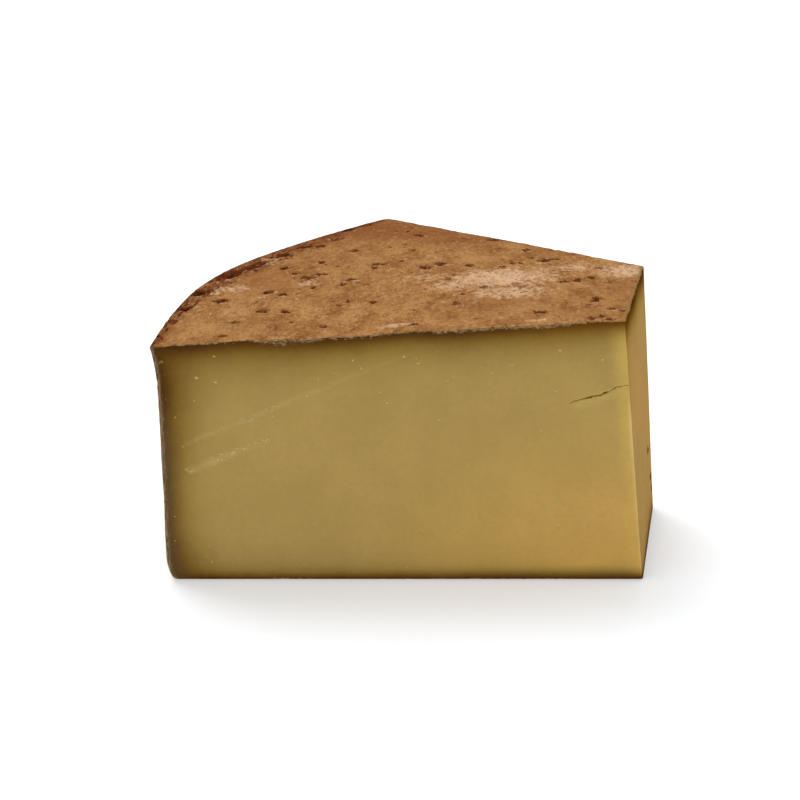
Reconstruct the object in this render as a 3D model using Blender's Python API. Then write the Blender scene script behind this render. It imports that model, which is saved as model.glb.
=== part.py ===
"""A cut wedge of hard mountain cheese, one solid piece.

The wedge comes from a wheel 0.65 m across and 0.115 m tall at its rim. It is modelled as a block
whose three directions are bent to the wheel: along the radius from nose to heel, round the wheel
from the front cut to the back cut, and up from the base to the top rind. The wheel's sharp upper
lip, its rounded lower edge, the uneven rim, the leaning nose cut, the pits and cracks of the rind
and the split in the paste are all relief in the one solid.

Metres, +Z up. The base rests on Z = 0, the front cut faces -Y and the nose points to +X.
"""

import math
import random

import bmesh
import bpy
from mathutils import Matrix, Vector, noise

# The wheel and the wedge
WHEEL_RADIUS = 0.325
RIM_HEIGHT = 0.115
WEDGE_ANGLE = math.radians(48.0)
AXIS_X = 0.2029
AXIS_Y = -0.11985

# The nose cut: distances from the wheel's axis, and how much taller the wedge is there
NOSE_FRONT = 0.1093
NOSE_BACK = 0.1339
NOSE_LEAN = 0.0128
NOSE_RISE = 0.01235

# The heel: uneven rim, upper lip, leaning wall and rounded lower edge
RIM_SHIFT = 0.0008
RIM_SWELL = 0.0021
RIM_SWELL_AT = math.radians(22.0)
RIM_SWELL_WAVE = math.radians(33.0)
LIP_REACH = 0.0029
LIP_DEPTH = 0.016
WALL_LEAN = 0.0012
BASE_ROUND_IN = 0.0045
BASE_ROUND_UP = 0.012
CORNER_ROUND = 0.006

# Unevenness of the faces
TOP_ROUGHNESS = 0.0005
HEEL_ROUGHNESS = 0.0006
CUT_ROUGHNESS = 0.00025
LUMP_SIZE = 0.035
TOP_SEED = 3.0
HEEL_SEED = 7.0
CUT_SEED = 11.0
EDGE_ROUND = 0.0011
EDGE_ANGLE = math.radians(50.0)
SMOOTH_ANGLE = math.radians(35.0)

# Low swellings of the top rind by the front cut: radius, angle from the cut, spread, rise
TOP_SWELLS = (
    (0.285, 3.0, 0.020, 0.0013),
    (0.206, 2.0, 0.010, 0.0014),
    (0.126, 3.0, 0.009, 0.0007),
)

# Lines of the block in each direction
RADIUS_STEPS = 26
ANGLE_STEPS = 34
CORNER_LINES = 4
BASE_LINES = 5
WALL_STEPS = 7
LIP_STEPS = 4

# Pits in the top rind: radius, angle from the front cut, length, width, turn
RIND_PITS = (
    (0.3062, 13.4, 0.0078, 0.0040, 8.0),
    (0.2803, 9.7, 0.0056, 0.0040, -4.0),
    (0.2685, 9.6, 0.0046, 0.0036, 20.0),
    (0.2878, 16.5, 0.0050, 0.0036, -15.0),
    (0.2561, 29.8, 0.0084, 0.0036, 5.0),
    (0.2298, 30.9, 0.0090, 0.0056, 12.0),
    (0.2774, 43.7, 0.0054, 0.0038, 0.0),
    (0.1834, 22.3, 0.0056, 0.0038, 10.0),
    (0.1827, 40.9, 0.0064, 0.0052, -10.0),
    (0.1477, 7.9, 0.0070, 0.0036, 25.0),
    (0.1249, 18.2, 0.0054, 0.0042, 0.0),
    (0.1442, 31.8, 0.0094, 0.0054, 6.0),
)
PIT_DEPTH = 0.0014
PIT_PROUD = 0.0004
PIT_BEND = 0.30
PIT_RAGGED = 0.35
PIT_LUMPS = 1.3
PIT_SIDES = 12
PIT_RINGS = 6

# Cracks in the crust just inside the rim
CRACK_COUNT = 9
CRACK_SEED = 5
CRACK_INSET = 0.0085
CRACK_WANDER = 0.0040
CRACK_LENGTHS = (0.008, 0.015)
CRACK_WIDTH = 0.0022
CRACK_DEPTH = 0.0012
CRACK_SKEW = math.radians(10.0)

# The split in the paste: places on the front cut as distance from the axis and height
SPLIT_LINE = (
    (0.1339, 0.0877),
    (0.1262, 0.0904),
    (0.1198, 0.0920),
    (0.1173, 0.0926),
    (0.1147, 0.0943),
    (0.1100, 0.0965),
    (0.1050, 0.0970),
    (0.0960, 0.0974),
)
SPLIT_OPENING = 0.0011
SPLIT_DEPTH = 0.0050
SPLIT_TIP = 0.15
SPLIT_GROWTH = 1.6
SPLIT_FLOOR = 0.2
SPLIT_OUTSIDE = 0.0030

PASTE_COLOUR = (0.371, 0.242, 0.074, 1.0)
PASTE_DULLNESS = 0.45
RIND_COLOUR = (0.407, 0.195, 0.078, 1.0)
RIND_DULLNESS = 0.75


def clear_scene():
    """Remove every object of the startup scene."""
    for obj in list(bpy.data.objects):
        bpy.data.objects.remove(obj, do_unlink=True)


def make_material(name, colour, roughness):
    """Return a Principled material without metal."""
    material = bpy.data.materials.new(name)
    material.use_nodes = True
    shader = material.node_tree.nodes["Principled BSDF"]
    shader.inputs["Base Color"].default_value = colour
    shader.inputs["Roughness"].default_value = roughness
    shader.inputs["Metallic"].default_value = 0.0
    return material


def lump(point, seed):
    """Return a smooth unevenness between about -1 and 1 at a point."""
    return noise.noise(point / LUMP_SIZE + Vector((seed, 0.0, 0.0))) * 2.0


def wheel_point(radius, angle, height):
    """Return the point at a radius and an angle from the front cut, in the wedge's frame."""
    return Vector((AXIS_X - radius * math.cos(angle), AXIS_Y + radius * math.sin(angle), height))


def round_in(gap, reach_in, reach_along):
    """Return how far a rounded edge draws in at a distance from the edge."""
    share = max(0.0, 1.0 - gap / reach_along)
    return reach_in * (1.0 - math.sqrt(1.0 - share * share))


def rim_radius(angle):
    """Return the uneven rim's radius, rounded off where it meets the back cut."""
    wave = math.cos(2.0 * math.pi * (angle - RIM_SWELL_AT) / RIM_SWELL_WAVE)
    back_gap = (WEDGE_ANGLE - angle) * WHEEL_RADIUS
    return WHEEL_RADIUS + RIM_SHIFT + RIM_SWELL * wave - round_in(back_gap, CORNER_ROUND, CORNER_ROUND)


def heel_radius(angle, height):
    """Return the radius of the heel: lip at the top, leaning wall, rounded lower edge."""
    lip = LIP_REACH * min(1.0, (RIM_HEIGHT - height) / LIP_DEPTH)
    lean = WALL_LEAN * (1.0 - height / RIM_HEIGHT)
    return rim_radius(angle) - lip - lean - round_in(height, BASE_ROUND_IN, BASE_ROUND_UP)


def nose_radius(angle, share):
    """Return the distance of the straight nose cut from the axis, at a share of the height."""
    lean = NOSE_LEAN * (1.0 - share)
    front = NOSE_FRONT - lean
    back = NOSE_BACK - lean
    across = front * math.sin(angle) + back * math.sin(WEDGE_ANGLE - angle)
    return front * back * math.sin(WEDGE_ANGLE) / across


def top_height(radius, angle):
    """Return the height of the top rind, which rises to the nose and swells a little."""
    height = RIM_HEIGHT + NOSE_RISE * (WHEEL_RADIUS - radius) / (WHEEL_RADIUS - NOSE_FRONT)
    place = wheel_point(radius, angle, 0.0)
    for swell_radius, degrees, spread, rise in TOP_SWELLS:
        away = (place - wheel_point(swell_radius, math.radians(degrees), 0.0)).length
        height += rise * math.exp(-((away / spread) ** 2))
    return height + TOP_ROUGHNESS * lump(place, TOP_SEED)


def block_point(u, v, w):
    """Return the wedge's point for shares along the radius, round the wheel and up."""
    angle = WEDGE_ANGLE * v
    near = nose_radius(angle, w)
    far = heel_radius(angle, RIM_HEIGHT * w)
    radius = near + (far - near) * u
    point = wheel_point(radius, angle, w * top_height(radius, angle))
    side = math.sin(math.pi * w)
    if u == 1.0:
        point -= outward(angle) * HEEL_ROUGHNESS * lump(point, HEEL_SEED) * side
    if v in (0.0, 1.0):
        across = Vector((math.sin(angle), math.cos(angle), 0.0))
        point += across * CUT_ROUGHNESS * lump(point, CUT_SEED + v) * side * math.sin(math.pi * u)
    return point


def outward(angle):
    """Return the direction away from the wheel's axis at an angle."""
    return Vector((-math.cos(angle), math.sin(angle), 0.0))


def even_steps(start, end, count):
    """Return evenly spaced values after the start, up to the end."""
    return [start + (end - start) * step / count for step in range(1, count + 1)]


def closing_steps(start, end, count):
    """Return values after the start that crowd together towards the end."""
    quarter = math.pi / 2.0
    return [start + (end - start) * math.sin(quarter * step / count) for step in range(1, count + 1)]


def block_lines():
    """Return the block's lines in its three directions, from 0 to 1."""
    radius_lines = [0.0] + even_steps(0.0, 1.0, RADIUS_STEPS)
    corner = 1.0 - CORNER_ROUND / (WHEEL_RADIUS * WEDGE_ANGLE)
    angle_lines = [0.0] + even_steps(0.0, corner, ANGLE_STEPS) + closing_steps(corner, 1.0, CORNER_LINES)
    base = BASE_ROUND_UP / RIM_HEIGHT
    lip = 1.0 - LIP_DEPTH / RIM_HEIGHT
    base_lines = [base - step for step in reversed(closing_steps(0.0, base, BASE_LINES))]
    wall_lines = [base] + even_steps(base, lip, WALL_STEPS)
    return radius_lines, angle_lines, base_lines + wall_lines + even_steps(lip, 1.0, LIP_STEPS)


def build_block(mesh):
    """Fill a mesh with the bent block's closed surface: rind in material slot 1, few base faces."""
    lines = block_lines()
    last = [len(values) - 1 for values in lines]
    grid = bmesh.new()
    base = []
    corners = {}

    def corner(place):
        if place not in corners:
            shares = [values[index] for values, index in zip(lines, place)]
            corners[place] = grid.verts.new(block_point(*shares))
        return corners[place]

    for fixed in range(3):
        first, second = [axis for axis in range(3) if axis != fixed]
        for end in (0, last[fixed]):
            for i in range(last[first]):
                for j in range(last[second]):
                    ring = []
                    for a, b in ((i, j), (i + 1, j), (i + 1, j + 1), (i, j + 1)):
                        place = [0, 0, 0]
                        place[fixed] = end
                        place[first] = a
                        place[second] = b
                        ring.append(corner(tuple(place)))
                    face = grid.faces.new(ring)
                    heel = fixed == 0 and end != 0
                    face.material_index = 1 if heel or fixed == 2 else 0
                    if fixed == 2 and end == 0:
                        base.append(face)
    bmesh.ops.recalc_face_normals(grid, faces=grid.faces)
    joined = bmesh.ops.dissolve_faces(grid, faces=base, use_verts=False)
    bmesh.ops.triangulate(grid, faces=joined["region"], ngon_method="BEAUTY")
    grid.to_mesh(mesh)
    grid.free()


def add_pit(cutter, radius, angle, size, turn):
    """Add one flattened ball to a cutter, bent to a ragged crescent and sunk into the top rind."""
    length, width, depth = size
    place = wheel_point(radius, angle, top_height(radius, angle) + PIT_PROUD)
    ball = bmesh.ops.create_uvsphere(cutter, u_segments=PIT_SIDES, v_segments=PIT_RINGS, radius=1.0)
    for vert in ball["verts"]:
        ragged = 1.0 + PIT_RAGGED * noise.noise(vert.co * PIT_LUMPS + place / PIT_DEPTH)
        vert.co.xy *= ragged
        vert.co.y += PIT_BEND * (length / width) * (vert.co.x**2 - 0.5)
    shape = Matrix.Translation(place) @ Matrix.Rotation(turn, 4, "Z")
    shape = shape @ Matrix.Diagonal((length / 2.0, width / 2.0, depth + PIT_PROUD, 1.0))
    bmesh.ops.transform(cutter, matrix=shape, verts=ball["verts"])


def pit_cutter():
    """Return the cutter of the rind's pits and of the cracks inside the rim."""
    cutter = bmesh.new()
    for radius, degrees, length, width, turn in RIND_PITS:
        size = (length, width, PIT_DEPTH)
        add_pit(cutter, radius, math.radians(degrees), size, math.radians(turn))
    draw = random.Random(CRACK_SEED)
    for index in range(CRACK_COUNT):
        angle = WEDGE_ANGLE * (index + 0.5) / CRACK_COUNT
        radius = rim_radius(angle) - CRACK_INSET + CRACK_WANDER * draw.uniform(-1.0, 1.0)
        size = (draw.uniform(*CRACK_LENGTHS), CRACK_WIDTH, CRACK_DEPTH)
        along = math.pi / 2.0 - angle + CRACK_SKEW * draw.uniform(-1.0, 1.0)
        add_pit(cutter, radius, angle, size, along)
    return helper_object("pit_cutter", cutter)


def split_cutter():
    """Return the cutter of the split: a jagged blade that thins out away from the nose."""
    cutter = bmesh.new()
    rings = []
    count = len(SPLIT_LINE) - 1
    for index, (radius, height) in enumerate(SPLIT_LINE):
        share = SPLIT_TIP + (1.0 - SPLIT_TIP) * min(1.0, SPLIT_GROWTH * index / count)
        half = SPLIT_OPENING * share / 2.0
        ring = []
        for depth, spread in ((-SPLIT_OUTSIDE, 1.0), (0.0, 1.0), (SPLIT_DEPTH * share, SPLIT_FLOOR)):
            for sign in (-1.0, 1.0):
                point = wheel_point(radius, 0.0, height + sign * half * spread)
                ring.append(cutter.verts.new(point + Vector((0.0, depth, 0.0))))
        rings.append([ring[0], ring[2], ring[4], ring[5], ring[3], ring[1]])
    for near, far in zip(rings, rings[1:]):
        for side in range(len(near)):
            after = (side + 1) % len(near)
            cutter.faces.new((near[side], near[after], far[after], far[side]))
    cutter.faces.new(rings[0])
    cutter.faces.new(rings[-1])
    bmesh.ops.recalc_face_normals(cutter, faces=cutter.faces)
    return helper_object("split_cutter", cutter)


def helper_object(name, shape):
    """Return a hidden wire object made from a bmesh, for use as a cutter."""
    mesh = bpy.data.meshes.new(name)
    shape.to_mesh(mesh)
    shape.free()
    obj = bpy.data.objects.new(name, mesh)
    obj.hide_render = True
    obj.display_type = "WIRE"
    bpy.context.scene.collection.objects.link(obj)
    return obj


def cut_away(obj, cutter):
    """Subtract a cutter from an object."""
    modifier = obj.modifiers.new(cutter.name, "BOOLEAN")
    modifier.operation = "DIFFERENCE"
    modifier.solver = "EXACT"
    modifier.object = cutter


def build_wedge():
    """Build the wedge with softened edges, its split and its rind relief."""
    mesh = bpy.data.meshes.new("cheese_wedge")
    mesh.materials.append(make_material("paste", PASTE_COLOUR, PASTE_DULLNESS))
    mesh.materials.append(make_material("rind", RIND_COLOUR, RIND_DULLNESS))
    build_block(mesh)
    mesh.shade_smooth()
    mesh.set_sharp_from_angle(angle=SMOOTH_ANGLE)
    wedge = bpy.data.objects.new("cheese_wedge", mesh)
    bpy.context.scene.collection.objects.link(wedge)
    edges = wedge.modifiers.new("soft_edges", "BEVEL")
    edges.limit_method = "ANGLE"
    edges.angle_limit = EDGE_ANGLE
    edges.width = EDGE_ROUND
    edges.segments = 2
    cut_away(wedge, split_cutter())
    cut_away(wedge, pit_cutter())
    return wedge


clear_scene()
build_wedge()
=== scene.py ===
"""The looks of a wedge of hard mountain cheese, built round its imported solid.

The wedge is one closed shell, worked out with numpy from the same named sizes as the solid: a block
bent to a sector of the wheel, with the relief of its rind and of its cuts laid on it. Crumbs of rind,
crystals and what the knife dragged up are pieces of their own on top of it.
Lengths are metres, in the frame's coordinates, unless a name says otherwise. A radius is a distance
from the wheel's axis, an angle is turned from the front cut, and a height is above the base.
"""

from __future__ import annotations

import logging
import math
from dataclasses import dataclass, field
from enum import Enum

import bmesh
import bpy
import numpy as np
import numpy.typing as npt
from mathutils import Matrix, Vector


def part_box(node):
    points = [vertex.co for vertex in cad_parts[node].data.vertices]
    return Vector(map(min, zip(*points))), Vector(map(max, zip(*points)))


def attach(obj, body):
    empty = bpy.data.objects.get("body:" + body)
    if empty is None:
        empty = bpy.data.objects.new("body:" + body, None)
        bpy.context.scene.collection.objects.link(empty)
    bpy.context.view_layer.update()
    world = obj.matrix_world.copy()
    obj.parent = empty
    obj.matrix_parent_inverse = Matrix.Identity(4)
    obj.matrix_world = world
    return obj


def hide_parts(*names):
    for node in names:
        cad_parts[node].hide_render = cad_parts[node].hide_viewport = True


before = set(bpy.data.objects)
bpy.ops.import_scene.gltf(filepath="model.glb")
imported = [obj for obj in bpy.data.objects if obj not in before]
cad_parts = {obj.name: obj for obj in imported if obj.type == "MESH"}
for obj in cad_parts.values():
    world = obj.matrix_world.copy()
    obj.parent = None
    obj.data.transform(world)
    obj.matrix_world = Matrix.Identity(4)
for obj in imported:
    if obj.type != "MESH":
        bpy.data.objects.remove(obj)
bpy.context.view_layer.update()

Array = npt.NDArray[np.float64]
Whole = npt.NDArray[np.int64]
Truth = npt.NDArray[np.bool_]
Marks = dict[str, Array]
Rows = tuple[tuple[float, ...], ...]
Colour = tuple[float, float, float]

LOG = logging.getLogger("cheese")
NODE = "cheese_wedge"
BODY = "root"
MM = 0.001


class Face(Enum):
    """The six faces of the bent block: the fixed direction and its end."""

    NOSE = (0, 0)
    HEEL = (0, 1)
    FRONT = (1, 0)
    BACK = (1, 1)
    BASE = (2, 0)
    TOP = (2, 1)


class Look(Enum):
    """The wedge's material slots, in order."""

    FRONT = 0
    RIND = 1
    NOSE = 2
    BACK = 3
    SPLIT = 4


LOOK_OF = {Face.NOSE: Look.NOSE, Face.FRONT: Look.FRONT, Face.BACK: Look.BACK}
COARSE = {Face.NOSE: (3, 1), Face.BACK: (3, 2), Face.BASE: (6, 6)}


def smooth(share: Array) -> Array:
    """Ease shares from 0 to 1 with the curve 3t^2 - 2t^3, flat outside."""
    held = np.clip(share, 0.0, 1.0)
    return held * held * (3.0 - 2.0 * held)


def eased(value: Array, none: Array | float, full: float) -> Array:
    """Return the eased share of the way from a value that counts as 0 to one that counts as 1."""
    return smooth((value - none) / (full - none))


def bell(away: Array, width: float) -> Array:
    """Return the bell exp(-(away / width)^2)."""
    return np.exp(-((away / width) ** 2))


def read_off(rows: Rows, value: Array) -> Array:
    """Return values from a table of two columns, straight between its rows."""
    return np.interp(value, *zip(*rows))


def columns(*values: Array | float) -> Array:
    """Return values side by side as the columns of an array."""
    return np.stack(np.broadcast_arrays(*values), axis=-1)


def unit(vectors: Array) -> Array:
    """Scale each row of an array to length 1."""
    return vectors / np.maximum(np.linalg.norm(vectors, axis=-1, keepdims=True), 1e-12)


def grid_cells(keys: Whole) -> Whole:
    """Return the four-sided cells of a grid of point numbers."""
    corners = [keys[:-1, :-1], keys[1:, :-1], keys[1:, 1:], keys[:-1, 1:]]
    return np.stack(corners, axis=-1).reshape(-1, 4)


def tube_cells(keys: Whole) -> Whole:
    """Return the four-sided cells of a grid whose last column joins its first."""
    return grid_cells(np.concatenate([keys, keys[:, :1]], axis=1))


class LumpyField:
    """Smooth random values in space, the same on every run.

    Each whole-number corner of space holds a random direction. A point's value blends the eight
    products of a corner's direction with the way from that corner to the point, with the curve
    6t^5 - 15t^4 + 10t^3 along each axis.
    """

    SIZE = 256
    STRENGTH = 1.7
    LAYER_SHIFT = 17.3

    def __init__(self, seed: int) -> None:
        """Draw the corners' directions from a seed."""
        draw = np.random.default_rng(seed)
        self.order = draw.permutation(self.SIZE)
        self.directions = unit(draw.normal(size=(self.SIZE, 3)))

    def layer(self, points: Array) -> Array:
        """Return one layer of the field.

        Args:
            points: Places in space, with lumps one unit apart.

        Returns:
            A value for each point, about -1 to 1.
        """
        cell = np.floor(points).astype(np.int64)
        inside = points - cell
        fade = inside**3 * (inside * (inside * 6.0 - 15.0) + 10.0)
        total = np.zeros(len(points))
        for corner in np.ndindex(2, 2, 2):
            x, y, z = ((cell + corner) % self.SIZE).T
            index = self.order[(self.order[(self.order[x] + y) % self.SIZE] + z) % self.SIZE]
            product = (self.directions[index] * (inside - corner)).sum(axis=1)
            total += product * np.where(corner, fade, 1.0 - fade).prod(axis=1)
        return total * self.STRENGTH

    def at(self, points: Array, size: float, layers: int = 1) -> Array:
        """Sum layers of the field, each half as large and half as strong as the one before.

        Args:
            points: Places in space.
            size: Distance between the largest lumps.
            layers: How many layers are summed.

        Returns:
            A value for each point.
        """
        total = np.zeros(len(points))
        for step in range(layers):
            total += self.layer(points * 2.0**step / size + self.LAYER_SHIFT * step) / 2.0**step
        return total

    def relief(self, points: Array, rows: Rows) -> Array:
        """Sum fields, each given as its lumps' size, its height and its number of layers."""
        return sum(height * self.at(points, size, int(layers)) for size, height, layers in rows)


@dataclass(frozen=True)
class WedgeForm:
    """The wedge's sizes and smooth surfaces: the solid's, but for a deeper lip and finer edges."""

    axis_x: float
    axis_y: float
    radius: float = 0.325
    rim_height: float = 0.115
    angle: float = math.radians(48.0)
    nose_front: float = 0.1093
    nose_back: float = 0.1339
    nose_lean: float = 0.0128
    nose_rise: float = 0.01235
    rim_shift: float = 0.0008
    rim_swell: float = 0.0021
    rim_swell_at: float = math.radians(22.0)
    rim_swell_wave: float = math.radians(33.0)
    lip_reach: float = 0.0029
    lip_depth: float = 0.023
    wall_lean: float = 0.0012
    base_round_in: float = 0.0045
    base_round_up: float = 0.012
    corner_round: float = 0.006
    cut_unevenness: float = 0.2 * MM
    top_swells: Rows = (
        (0.285, 3.0, 0.020, 0.0013),
        (0.206, 2.0, 0.010, 0.0014),
        (0.126, 3.0, 0.009, 0.0007),
    )

    @classmethod
    def from_frame(cls) -> WedgeForm:
        """Return the form with the wheel's axis placed from the CAD node's box."""
        low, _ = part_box(NODE)
        return cls(low.x + cls(0.0, 0.0).rim(np.zeros(1))[0], low.y + cls.cut_unevenness)

    @staticmethod
    def round_in(gap: Array, reach_in: float, reach_along: float) -> Array:
        """Return how far an edge rounded as a quarter ellipse draws in, at a gap from the edge."""
        share = np.clip(1.0 - gap / reach_along, 0.0, 1.0)
        return reach_in * (1.0 - np.sqrt(1.0 - share * share))

    def rim(self, angle: Array) -> Array:
        """Return the rim's radius: a cosine swell, rounded off where it meets the back cut.

        Args:
            angle: Angles along the rim.

        Returns:
            A radius for each angle.
        """
        wave = np.cos(2.0 * np.pi * (angle - self.rim_swell_at) / self.rim_swell_wave)
        gap = (self.angle - angle) * self.radius
        corner = self.round_in(gap, self.corner_round, self.corner_round)
        return self.radius + self.rim_shift + self.rim_swell * wave - corner

    def heel(self, angle: Array, height: Array) -> Array:
        """Return the heel's radius: a lip that runs out at the top, a leaning wall, a round foot.

        The lip falls off as 1 - (1 - t)^2, with t the share of the lip's depth below the rim.

        Args:
            angle: Angles along the heel.
            height: Heights on the heel.

        Returns:
            A radius for each place.
        """
        share = np.clip((self.rim_height - height) / self.lip_depth, 0.0, 1.0)
        lip = self.lip_reach * (1.0 - (1.0 - share) ** 2)
        lean = self.wall_lean * (1.0 - height / self.rim_height)
        return self.rim(angle) - lip - lean - self.round_in(height, self.base_round_in, self.base_round_up)

    def nose(self, angle: Array, share: Array) -> Array:
        """Return the radius of the straight, leaning nose cut.

        It is where the ray at an angle meets the line through the cut's two ends.

        Args:
            angle: Angles across the nose.
            share: Shares of the way from base to top.

        Returns:
            A radius for each place.
        """
        lean = self.nose_lean * (1.0 - share)
        front, back = self.nose_front - lean, self.nose_back - lean
        across = front * np.sin(angle) + back * np.sin(self.angle - angle)
        return front * back * math.sin(self.angle) / across

    def top(self, radius: Array, angle: Array) -> Array:
        """Return the top's height: it rises evenly to the nose, with a few bell-shaped swells.

        Args:
            radius: Radii of the places.
            angle: Their angles.

        Returns:
            A height for each place.
        """
        height = self.rim_height + self.nose_rise * (self.radius - radius) / (self.radius - self.nose_front)
        for at, degrees, spread, rise in self.top_swells:
            turned = np.cos(angle - math.radians(degrees))
            away = radius**2 + at**2 - 2.0 * radius * at * turned
            height = height + rise * np.exp(-away / spread**2)
        return height

    def place(self, radius: Array, angle: Array | float, height: Array | float) -> Array:
        """Return points, one a row, from radius, angle and height."""
        return columns(self.axis_x - radius * np.cos(angle), self.axis_y + radius * np.sin(angle), height)

    def spot(self, radius: float, degrees: float) -> Array:
        """Return the x and y of one place."""
        return self.place(np.array(radius), math.radians(degrees), 0.0)[:2]

    def polar(self, points: Array) -> tuple[Array, Array]:
        """Return the radius and the angle of points."""
        x, y = self.axis_x - points[:, 0], points[:, 1] - self.axis_y
        return np.hypot(x, y), np.arctan2(y, x)


@dataclass(frozen=True)
class Pit:
    """One sunk place in the rind: where it is, its size and how it is turned and bent."""

    radius: float
    degrees: float
    length: float
    width: float
    turn: float
    depth: float
    bend: float = 0.25
    stretch: tuple[float, float] = (0.46, 0.66)
    raggedness: float = 0.50

    @classmethod
    def in_mm(
        cls, radius: float, degrees: float, length: float, width: float, turn: float,
        depth: float = 1.4, bend: float = 0.25,
    ) -> Pit:
        """Return a pit whose length, width and depth are given in millimetres."""
        return cls(radius, degrees, length * MM, width * MM, turn, depth * MM, bend)

    def shares(self, form: WedgeForm, points: Array, ragged: Array) -> tuple[Array, Array]:
        """Return each point's place in the pit's own ellipse, which is bent to a crescent.

        Args:
            form: Gives the wheel's axis.
            points: Places on the top.
            ragged: Uneven values that make the outline wander.

        Returns:
            Distance from the middle, 1 at the rim, and the place across the pit, -1 to 1.
        """
        x, y = (points[:, :2] - form.spot(self.radius, self.degrees)).T
        cos, sin = math.cos(math.radians(self.turn)), math.sin(math.radians(self.turn))
        along = (x * cos + y * sin) / (self.length * self.stretch[0])
        across = (y * cos - x * sin) / (self.width * self.stretch[1])
        across = across + self.bend * (along**2 - 0.5)
        return np.hypot(along, across) * (1.0 + self.raggedness * ragged), across


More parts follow.
